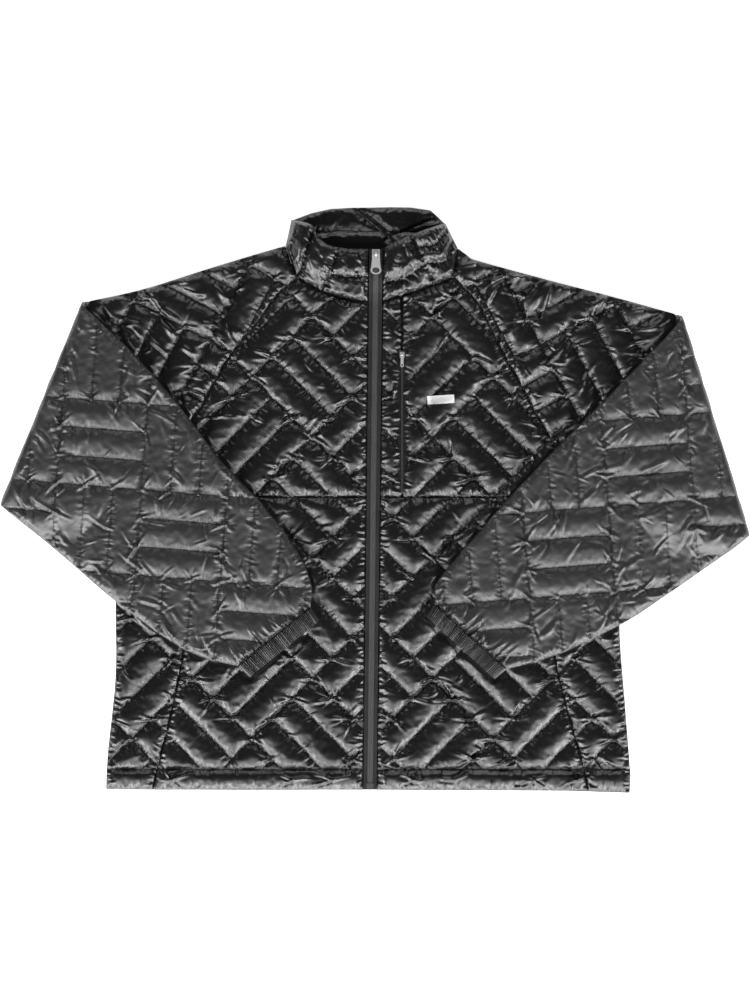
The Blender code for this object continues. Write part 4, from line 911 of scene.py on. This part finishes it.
def sleeve_half(side, half):
    """One half of a sleeve. Its pattern has X along the fold, and Y from shoulder to cuff."""
    fold = Fold(side)
    back_half = half == "back"
    radius = BACK_INNER_RADIUS if back_half else FRONT_LINING_RADIUS
    outwards = 1 if back_half else -1
    bend = math.pi * (radius + outwards * FOLD_WALL / 2)
    group = f"{'forearm' if back_half else 'upper'}_{side}"

    def pattern(laid, forearm):
        return np.stack([laid[:, 0], (bend - FOLD_RADIUS - laid[:, 1]) if forearm else laid[:, 1] + FOLD_RADIUS],
                        axis=1)

    shoulder, underarm, upper, lower = (
        pattern(cut_at_fold(fold.lay(run(side, name))), forearm) for name, forearm in
        (("shoulder", False), ("underarm", False), ("arm_upper", True), ("arm_lower", True)))
    raglan, neck, cuff = (pattern(fold.lay(run(side, name)), forearm) for name, forearm in
                          (("raglan", False), ("neck_sleeve", False), ("cuff_seam", True)))
    shares = np.linspace(0, 1, 5)[:, None]
    bend_low = underarm[-1] + shares * (lower[-1] - underarm[-1])
    bend_high = upper[-1] + shares * (shoulder[-1] - upper[-1])
    loop = joined(raglan, underarm, bend_low, lower[::-1], cuff[::-1], upper, bend_high, shoulder[::-1], neck)

    def unfold(p):
        share = np.clip(p[:, 1] / bend, 0, 1)
        a = np.where(p[:, 1] <= 0, p[:, 1] - FOLD_RADIUS, -FOLD_RADIUS - (p[:, 1] - bend))
        a = np.where((share > 0) & (share < 1), -FOLD_RADIUS, a)
        return fold.page(p[:, 0], a), share

    def quilt_page(p):
        """The page as the quilt on the visible part sees it, carried on over the fold."""
        a = bend - FOLD_RADIUS - p[:, 1] if back_half else p[:, 1] - FOLD_RADIUS
        return fold.page(p[:, 0], a)

    def place(p, lift):
        page, share = unfold(p)
        r = radius + outwards * lift
        turn = math.pi * (share - 0.5)
        bent = (share > 0) & (share < 1)
        page = page + np.outer(np.where(bent, r * np.cos(turn), 0), fold.out)
        z = FOLD_Z + r * np.sin(turn)
        return np.column_stack([page, z - np.where(share > 0.5, fold.sag(page), 0)])

    def heights(p, depth):
        return ARM_PUFF[half] * quilt_height(quilt_page(p), group) * crown(depth / ARM_EDGE_ROLL)

    def outer(p, height):
        page, share = unfold(p)
        over = SEAM_WALL + height
        if back_half:
            under = np.minimum(UNDER_SIDE["wall"] + UNDER_SIDE["share"] * height, BACK_WALL)
            return place(p, under + (over - under) * ease((p[:, 1] / bend - OVER_BEND["start"]) / OVER_BEND["run"]))
        over += pressed(page) * (np.minimum(over, UNDER_ARM) - over)
        to_fold = -fold.lay(page)[:, 1]
        near = ease((to_fold - FOLD_RADIUS) / FOLD_EASE) * (share <= 0)
        return place(p, FOLD_WALL + (over - FOLD_WALL) * near)

    def fine(p):
        if back_half:
            return p[:, 1] > -12
        return (p[:, 1] < 0) & clear_of_arms(unfold(p)[0])

    box_low, box_high = loop.min(0), loop.max(0)
    corners = quilt_page(np.array([box_low, box_high, (box_low[0], box_high[1]), (box_high[0], box_low[1])]))
    page_lines = quilt_lines(group, corners.min(0), corners.max(0))
    lines = [pattern(fold.lay(line), back_half) for line in page_lines]
    page_loop = quilt_page(loop)
    slope = -52 * SIDES[side] if back_half else -20 * SIDES[side]
    creases = stars(group, page_loop, chance=0.85, rays=(3, 7), length=(10, 30), height=(0.8, 2.0),
                    lean=slope / 2, spread=45)
    creases += folds(page_loop, room=1100 if back_half else 1300, length=(20, 55), height=(1.2, 2.8),
                     width=(1.6, 3.4), lean=-slope, spread=24)
    creases += folds(page_loop, room=1500, length=(14, 34), height=(0.7, 1.5), width=(1.0, 1.6), lean=slope,
                     spread=30)
    if not back_half:
        creases += folds(page_loop, room=1900, length=(38, 85), height=(1.8, 3.2), width=(2.4, 4.4),
                         lean=63 * SIDES[side], spread=17)
    creases += gathers(closed(page_loop), spacing=6.0, length=(5, 15), height=(0.5, 1.4))
    if back_half:
        creases += gathers(run(side, "cuff_seam"), spacing=4.5, length=(12, 38), height=(0.9, 2.2))
    for line in page_lines:
        creases += gathers(line, spacing=9.0, length=(4, 12), height=(0.25, 0.8))

    def seen(p):
        return (p[:, 1] > bend) if back_half else (p[:, 1] < 0) * (1 - pressed(unfold(p)[0]))

    marks, mark_edges = bend_marks(loop, bend)
    sag_points = sag_marks(loop, pattern, fold, bend)
    # The back half takes the sleeves' nylon, whose lighter colour is painted light.
    made, ends = shell(f"sleeve_{side}_{half}_cloth", loop, lines, fine, heights, outer,
                       lambda p: place(p, np.zeros(len(p))), SLEEVE_PAINTED_LIGHTER if back_half else SHELL,
                       lining_marks=(marks + sag_points, mark_edges),
                       relief=lambda p: relief_of(quilt_page(p), creases) * seen(p))
    stitch_ends.append(ends)
    finish_cloth(made, f"sleeve_{side}_{half}")


for side in SIDES:
    for half in ("back", "front"):
        sleeve_half(side, half)

# --- Collar ---
# A stand collar of the shell nylon in three pieces. Its back lies flat, and its two front ends stand off it,
# quilted by a few crossing lines, with the zip between them.

RUNS["right"] |= {
    "collar_top": [(-100.2, 334.6), (-75.6, 327), (-66, 311), (-46, 301), (-8, 299.4)],
    "collar_side": [(-106.8, 303.7), (-103.7, 320.9), (-100.2, 334.6)],
}
RUNS["left"] |= {
    "collar_top": [(84.4, 330.5), (50, 318), (24, 308), (9.2, 300)],
    "collar_side": [(99, 301), (93, 312), (84.4, 330.5)],
}
COLLAR_BACK_TOP = [(-100.2, 334.6), (-58.8, 348), (3, 350.4), (43.2, 350.4), (69.2, 346), (84.4, 330.5)]
COLLAR_BACK_LINES = [[(-31, 352), (17, 313)], [(-26, 356), (22, 317)], [(-90, 318), (-40, 322), (60, 320)],
                     [(22, 317), (70, 336)]]
COLLAR_SIZE = (118.0, 62.0)  # of one front end, from its side seam to the zip
COLLAR_LIFT = 14.0
COLLAR_LIFT_AT_ZIP = 6.5
COLLAR_LINES = {  # stitch lines as shares of the collar's length, from its side to the zip, and of its height
    "right": [[(0.3, 0), (0.31, 0.5), (0.28, 1)], [(0.55, 0), (0.62, 0.45), (0.66, 1)],
              [(0.61, 0.42), (0.8, 0.43), (1, 0.48)]],
    "left": [[(0, 0.35), (0.25, 0.32), (0.49, 0.42)], [(0, 0.72), (0.26, 0.67), (0.53, 0.74)],
             [(0.45, 0), (0.5, 0.45), (0.56, 1)], [(0.5, 0.42), (0.75, 0.3), (1, 0.36)]],
}


def puffs_between(lines, height, reach):
    """A height function: the padding rises from the lines and the rim over its reach."""
    marks = np.vstack([even(line, 1.0) for line in lines])

    def heights(points, depth):
        away = np.array([np.linalg.norm(marks - point, axis=1).min() for point in points])
        return height * crown(away / reach) * crown(depth / 9.0)
    return heights


def collar_base(u, v):
    """Height of the lining at shares of the length and the height."""
    lift = COLLAR_LIFT * crown(u / 0.3) + (COLLAR_LIFT_AT_ZIP - COLLAR_LIFT) * ease((u - 0.45) / 0.55)
    return FRONT_BASE + lift * ease(v / 0.55)


def collar_front(side):
    runs = RUNS[side]
    zip_off = SIDES[side] * (TAPE_HALF + GAP / 2)
    neck = smooth_run([*runs["neck_sleeve"], *runs["neck_outer"][1:], (zip_x(NECK_Y) + zip_off, NECK_Y)], 1.0)
    top = smooth_run([*runs["collar_top"][:-1], (zip_x(ZIP_TOP_Y) + zip_off, ZIP_TOP_Y)], 1.0)
    width, height = COLLAR_SIZE

    def place(p, lift):
        """The pattern's points between the neck seam and the top edge, on the collar's slope."""
        u, v = p[:, 0] / width, p[:, 1] / height
        ends = []
        for line in (neck, top):
            at = np.clip(u, 0, 1) * (len(line) - 1)
            ends.append(np.stack([np.interp(at, np.arange(len(line)), line[:, k]) for k in range(2)], axis=1))
        return np.column_stack([ends[0] + v[:, None] * (ends[1] - ends[0]), collar_base(u, v) + lift])

    box = [(0, 0), (width, 0), (width, height), (0, height)]
    loop = joined(*(even([a, b], 12) for a, b in zip(box, box[1:] + box[:1])))
    lines = [smooth_run(np.array(line) * (width, height), 2.2) for line in COLLAR_LINES[side]]
    heights = puffs_between(lines, height=6.0, reach=13.0)
    creases = folds(loop, room=260, length=(9, 30), height=(0.8, 2.0), width=(1.0, 2.4), lean=60 * SIDES[side],
                    spread=40)
    creases += gathers(closed(loop), spacing=5.0, length=(4, 12), height=(0.5, 1.3))
    for line in lines:
        creases += gathers(line, spacing=5.0, length=(4, 13), height=(0.5, 1.3))

    marks = [(x, y) for x in np.linspace(6, width - 6, 12) for y in np.linspace(6, height - 6, 8)]
    made, ends = shell(f"collar_{side}_cloth", loop, lines, everywhere, heights,
                       lambda p, lift: place(p, SEAM_WALL + lift), lambda p: place(p, 0), SHELL,
                       lining_marks=(marks, ()), step=2.2, growth=0.05, relief=lambda p: relief_of(p, creases))
    stitch_ends.append(ends)
    finish_cloth(made, f"collar_{side}")


def collar_back():
    loop = joined(run("right", "collar_side"), smooth_run(COLLAR_BACK_TOP), run("left", "collar_side")[::-1],
                  run("left", "neck_sleeve"), smooth_run(NECK_BACK)[::-1], run("right", "neck_sleeve")[::-1])
    lines = [even(line, STEP) for line in COLLAR_BACK_LINES]
    heights = puffs_between(lines, height=5.0, reach=11.0)
    creases = folds(loop, room=500, length=(10, 34), height=(0.8, 1.9), width=(1.2, 2.6), lean=20, spread=40)
    creases += gathers(closed(loop), spacing=5.0, length=(4, 12), height=(0.5, 1.3))

    def outer(p, lift):
        return np.column_stack([p, 1.2 + np.minimum(lift, 5.6) * 0.75])

    made, ends = shell("collar_back_cloth", loop, lines, everywhere, heights, outer, level(0.0), SHELL,
                       growth=0.04, relief=lambda p: relief_of(p, creases))
    stitch_ends.append(ends)
    finish_cloth(made, "collar_back")


collar_back()
for side in SIDES:
    collar_front(side)

# --- Cuffs ---
# Elastic bands in folded nylon of the sleeves, in their lighter colour that is painted light, gathered into fine
# ribs and sewn to the ends of the sleeves. They lie flat, as tubes whose mouths stay a little open.

CUFF_HEIGHT = 11.0
CUFF_WALL = 3.2
CUFF_RIBS = 52
CUFF_RIB_HEIGHT = 0.95


def cuff(side):
    seam, mouth = (np.array(RUNS[side][name], float) for name in ("cuff_seam", "cuff_mouth"))
    out = mouth.mean(0) - seam.mean(0)
    out /= np.linalg.norm(out)
    top_count, low_count, rows = 12 * CUFF_RIBS, 60, 9
    share = np.concatenate([np.linspace(0, 1, top_count), np.linspace(1, 0, low_count)[1:-1]])
    over = np.arange(len(share)) < top_count
    end_round = crown(np.minimum(share, 1 - share) / 0.06)
    phase = np.cumsum(random.normal(0, 0.13, len(share)))
    strength = 0.8 + 0.6 * np.interp(share, np.linspace(0, 1, 90), random.uniform(-1, 1, 90))
    slant = np.interp(share, np.linspace(0, 1, 30), random.normal(0, 2.2, 30))
    middle = ARM_UNDER_Z + CUFF_HEIGHT / 2
    sign = np.where(over, 1, -1)
    vertices = []
    for wall in ("outer", "inner"):
        for row in (range(rows) if wall == "outer" else range(rows - 1, -1, -1)):
            v = row / (rows - 1)
            line = seam + v * (mouth - seam)
            page = line[0] + share[:, None] * (line[1] - line[0]) + out * (0.6 * (1 - v))
            rib = np.sin(2 * math.pi * CUFF_RIBS * share + phase + slant * (v - 0.5)) * over * strength
            if wall == "inner":
                half = (CUFF_HEIGHT / 2 - CUFF_WALL) * end_round
                rib = rib * 0
                page = line[0] + (0.03 + 0.94 * share[:, None]) * (line[1] - line[0]) + out * (0.6 * (1 - v))
            else:
                half = CUFF_HEIGHT / 2 * end_round * (0.8 + 0.2 * math.sin(math.pi * v))
            vertices.append(np.column_stack([page, middle + sign * half + CUFF_RIB_HEIGHT * rib * end_round]))
    count = len(share)
    faces = []
    for ring in range(2 * rows):
        a, b = ring * count, (ring + 1) % (2 * rows) * count
        for i in range(count):
            j = (i + 1) % count
            faces.append((a + i, a + j, b + j, b + i))
    made = mesh_object(f"cuff_{side}_cloth", np.concatenate(vertices), faces)
    # The sleeves' lighter colour is painted light.
    made.data.materials.append(SLEEVE_PAINTED_LIGHTER)
    finish_cloth(made, f"cuff_{side}")


for side in SIDES:
    cuff(side)

# --- Threads ---
# Black polyester thread. Every quilting line and topstitched seam is a row of single stitches, sunk in the cloth
# and drawn here as one long bead each.

THREAD = plain("black thread", (0.02, 0.02, 0.02), 0.6)
ZIP_SEAMS = (2.0, 5.0)  # from the edge of the tape
POCKET_SEAM = 3.6  # from the middle of the slit
TOPSTITCHED = {"waist_outer": (0, 2.6), "neck_outer": (0, -3.0), "pocket": (-2.6, 0), "raglan": (-2.4, -2.4)}


def bead_tree(name):
    """A Geometry Nodes tree that puts a long bead on every point, turned along its direction attribute."""
    tree = bpy.data.node_groups.new(name, "GeometryNodeTree")
    for socket, kind in (("Geometry", "Geometry"), ("Length", "Float"), ("Width", "Float"), ("Height", "Float"),
                         ("Material", "Material")):
        tree.interface.new_socket(socket, in_out="INPUT", socket_type=f"NodeSocket{kind}")
    tree.interface.new_socket("Geometry", in_out="OUTPUT", socket_type="NodeSocketGeometry")
    given = tree.nodes.new("NodeGroupInput").outputs
    bead = add_node(tree, "GeometryNodeMeshIcoSphere", {"Radius": 0.5, "Subdivisions": 1})
    direction = tree.nodes.new("GeometryNodeInputNamedAttribute")
    direction.data_type = "FLOAT_VECTOR"
    direction.inputs["Name"].default_value = "direction"
    turn = add_node(tree, "FunctionNodeAlignRotationToVector", {"Vector": direction.outputs["Attribute"]})
    turn.axis = "X"
    size = add_node(tree, "ShaderNodeCombineXYZ",
                    {"X": given["Length"], "Y": given["Width"], "Z": given["Height"]})
    placed = add_node(tree, "GeometryNodeInstanceOnPoints",
                      {"Points": given["Geometry"], "Instance": bead.outputs["Mesh"],
                       "Rotation": turn.outputs["Rotation"], "Scale": size.outputs["Vector"]})
    real = add_node(tree, "GeometryNodeRealizeInstances", {"Geometry": placed.outputs["Instances"]})
    smooth = add_node(tree, "GeometryNodeSetShadeSmooth", {"Geometry": real.outputs["Geometry"]})
    finish = add_node(tree, "GeometryNodeSetMaterial",
                      {"Geometry": smooth.outputs["Geometry"], "Material": given["Material"]})
    add_node(tree, "NodeGroupOutput", {"Geometry": finish.outputs["Geometry"]})
    return tree


def beads(name, ends, width, height, length, material):
    """One mesh of beads, each between its two ends, which are in millimetres."""
    middle = ends.mean(1)
    made = mesh_object(name, middle, [])
    direction = made.data.attributes.new("direction", "FLOAT_VECTOR", "POINT")
    direction.data.foreach_set("vector", (ends[:, 1] - ends[:, 0]).ravel())
    modifier = made.modifiers.new("beads", "NODES")
    modifier.node_group = bead_tree(name)
    inputs = {item.name: item.identifier for item in modifier.node_group.interface.items_tree
              if item.in_out == "INPUT"}
    for socket, value in (("Length", length * MM), ("Width", width * MM), ("Height", height * MM),
                          ("Material", material)):
        modifier[inputs[socket]] = value
    bpy.context.view_layer.update()
    mesh = bpy.data.meshes.new_from_object(made.evaluated_get(bpy.context.evaluated_depsgraph_get()))
    made.modifiers.remove(modifier)
    made.data = mesh
    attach(made, "jacket")


def surface_of(piece):
    mesh = piece.data
    return BVHTree.FromPolygons([v.co for v in mesh.vertices], [p.vertices for p in mesh.polygons])


def drop_onto(points, surfaces):
    """The height of the highest of the surfaces at each point."""
    heights = np.full(len(points), -np.inf)
    for surface in surfaces:
        for number, (x, y) in enumerate(points):
            place = surface.ray_cast(Vector((x * MM, (y + LIFT_Y) * MM, 0.1)), Vector((0, 0, -1)))[0]
            if place:
                heights[number] = max(heights[number], place.z / MM)
    return heights


def stitches_along(line, surfaces, pitch=3.0):
    """Stitches along a line on the surfaces."""
    points = even(line, pitch / 2)
    heights = drop_onto(points, surfaces)
    kept = np.isfinite(heights)
    points = np.column_stack([points, heights])[kept]
    pairs = len(points) // 2
    return points[:2 * pairs].reshape(pairs, 2, 3)


body = [surface_of(piece) for piece in fronts.values()]
sewn = [np.concatenate([ends[::2] for ends in stitch_ends])]
for sign in SIDES.values():
    for off in ZIP_SEAMS:
        zip_ends = [(zip_x(y) + sign * (TAPE_HALF + off), y) for y in (HEM_Y + 4, NECK_Y)]
        sewn.append(stitches_along(zip_ends, body))
    pocket_ends = (WAIST_Y + 4, POCKET_SLIT["closed"] + 3)
    sewn.append(stitches_along([(POCKET_X + sign * POCKET_SEAM, y) for y in pocket_ends], body))
for side, sign in SIDES.items():
    for name, (across, up) in TOPSTITCHED.items():
        line = even(run(side, name) + (across * sign, up), 3.0)
        line = line[pressed(line) < 0.5]
        if len(line) > 2:
            sewn.append(stitches_along(line, body))
beads("threads", np.concatenate(sewn) + (0, 0, 0.1), width=0.45, height=0.4, length=2.1, material=THREAD)

# --- Zip ---
# Woven polyester tapes carry a nylon coil, whose turns are closed below the slider. Sliders and pulls are die
# cast and plated. The frame's own solids get their finishes, and the coil's turns and tape stitches are added.

COIL_PITCH = 1.6
COIL_OFF = 1.25  # of each row of turns from the middle of the zip
TURN_HALF = 1.3
TAPE_SEAMS = (4.2, 6.6)  # from the middle of the zip
TAPE = plain("zip tape", (0.022, 0.022, 0.023), 0.75, noise_scale=900.0, bump=0.4)
COIL = plain("nylon coil", (0.068, 0.066, 0.064), 0.5)
METAL = plain("bright metal", (0.85, 0.85, 0.84), 0.32, metallic=0.5, bump=0.02)
for material, nodes in ((TAPE, ("zip_tape_right", "zip_tape_left")),
                        (COIL, ("zip_coil", "zip_box", "pocket_coil")),
                        (METAL, ("zip_slider", "zip_pull", "pocket_slider", "pocket_pull"))):
    for name in nodes:
        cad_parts[name].data.materials.clear()
        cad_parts[name].data.materials.append(material)

turns = []
coil_surface = [surface_of(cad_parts["zip_coil"])]
for sign in SIDES.values():
    line = [(zip_x(y) + sign * COIL_OFF, y + sign * COIL_PITCH / 4) for y in (HEM_Y + 10, ZIP_TOP_Y - 16)]
    middle = even(line, COIL_PITCH)
    heights = drop_onto(middle, coil_surface)
    middle = np.column_stack([middle, heights])[np.isfinite(heights)]
    turns.append(np.stack([middle - (TURN_HALF, 0, 0), middle + (TURN_HALF, 0, 0)], axis=1))
beads("coil_turns", np.concatenate(turns), width=1.25, height=0.9, length=2.7, material=COIL)

tape_rows = []
for side, sign in SIDES.items():
    for off in TAPE_SEAMS:
        tape_rows.append(stitches_along([(zip_x(y) + sign * off, y) for y in (HEM_Y + 6, ZIP_TOP_Y - 8)],
                                        [surface_of(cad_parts[f"zip_tape_{side}"])], pitch=2.4))
beads("tape_stitches", np.concatenate(tape_rows) + (0, 0, 0.05), width=0.5, height=0.35, length=1.6,
      material=THREAD)

# --- Label ---
# A small bare label of white woven polyester, sewn down at both ends over the quilting of the chest, which it
# bridges from crest to crest.

LABEL = {"x": 78.6, "y": 119.4, "length": 32.0, "width": 10.0, "turn": 3.0, "wall": 0.6, "clear": 0.2}
LABEL_CELLS = (40, 14)
LABEL_CLOTH = plain("white woven label", (0.93, 0.93, 0.91), 0.75, noise_scale=1500.0, bump=0.5)


def label():
    turn = math.radians(LABEL["turn"])
    u, v = np.meshgrid(np.linspace(-0.5, 0.5, LABEL_CELLS[0] + 1) * LABEL["length"],
                       np.linspace(-0.5, 0.5, LABEL_CELLS[1] + 1) * LABEL["width"])
    x = LABEL["x"] + u * math.cos(turn) - v * math.sin(turn)
    y = LABEL["y"] + u * math.sin(turn) + v * math.cos(turn)
    under = drop_onto(np.stack([x.ravel(), y.ravel()], axis=1), body).reshape(x.shape)
    taut = under.copy()
    for _ in range(60):
        wide = np.pad(taut, 1, mode="edge")
        mean = (wide[:-2, 1:-1] + wide[2:, 1:-1] + wide[1:-1, :-2] + wide[1:-1, 2:]) / 4
        taut = np.maximum(under, mean)
    low = np.stack([x, y, taut + LABEL["clear"]], axis=2).reshape(-1, 3)
    columns, rows = LABEL_CELLS
    count = len(low)
    firsts = [r * (columns + 1) + c for r in range(rows) for c in range(columns)]
    faces = [(a, a + 1, a + columns + 2, a + columns + 1) for a in firsts]
    rim = [*range(columns), *((r + 1) * (columns + 1) - 1 for r in range(rows)),
           *range(count - 1, count - 1 - columns, -1), *((r * (columns + 1)) for r in range(rows, 0, -1))]
    faces += [tuple(count + i for i in face) for face in faces]
    faces += [(a, b, b + count, a + count) for a, b in zip(rim, rim[1:] + rim[:1])]
    made = mesh_object("label_cloth", np.vstack([low, low + (0, 0, LABEL["wall"])]), faces)
    made.data.materials.append(LABEL_CLOTH)
    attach(made, "jacket")
    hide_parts("label")


label()
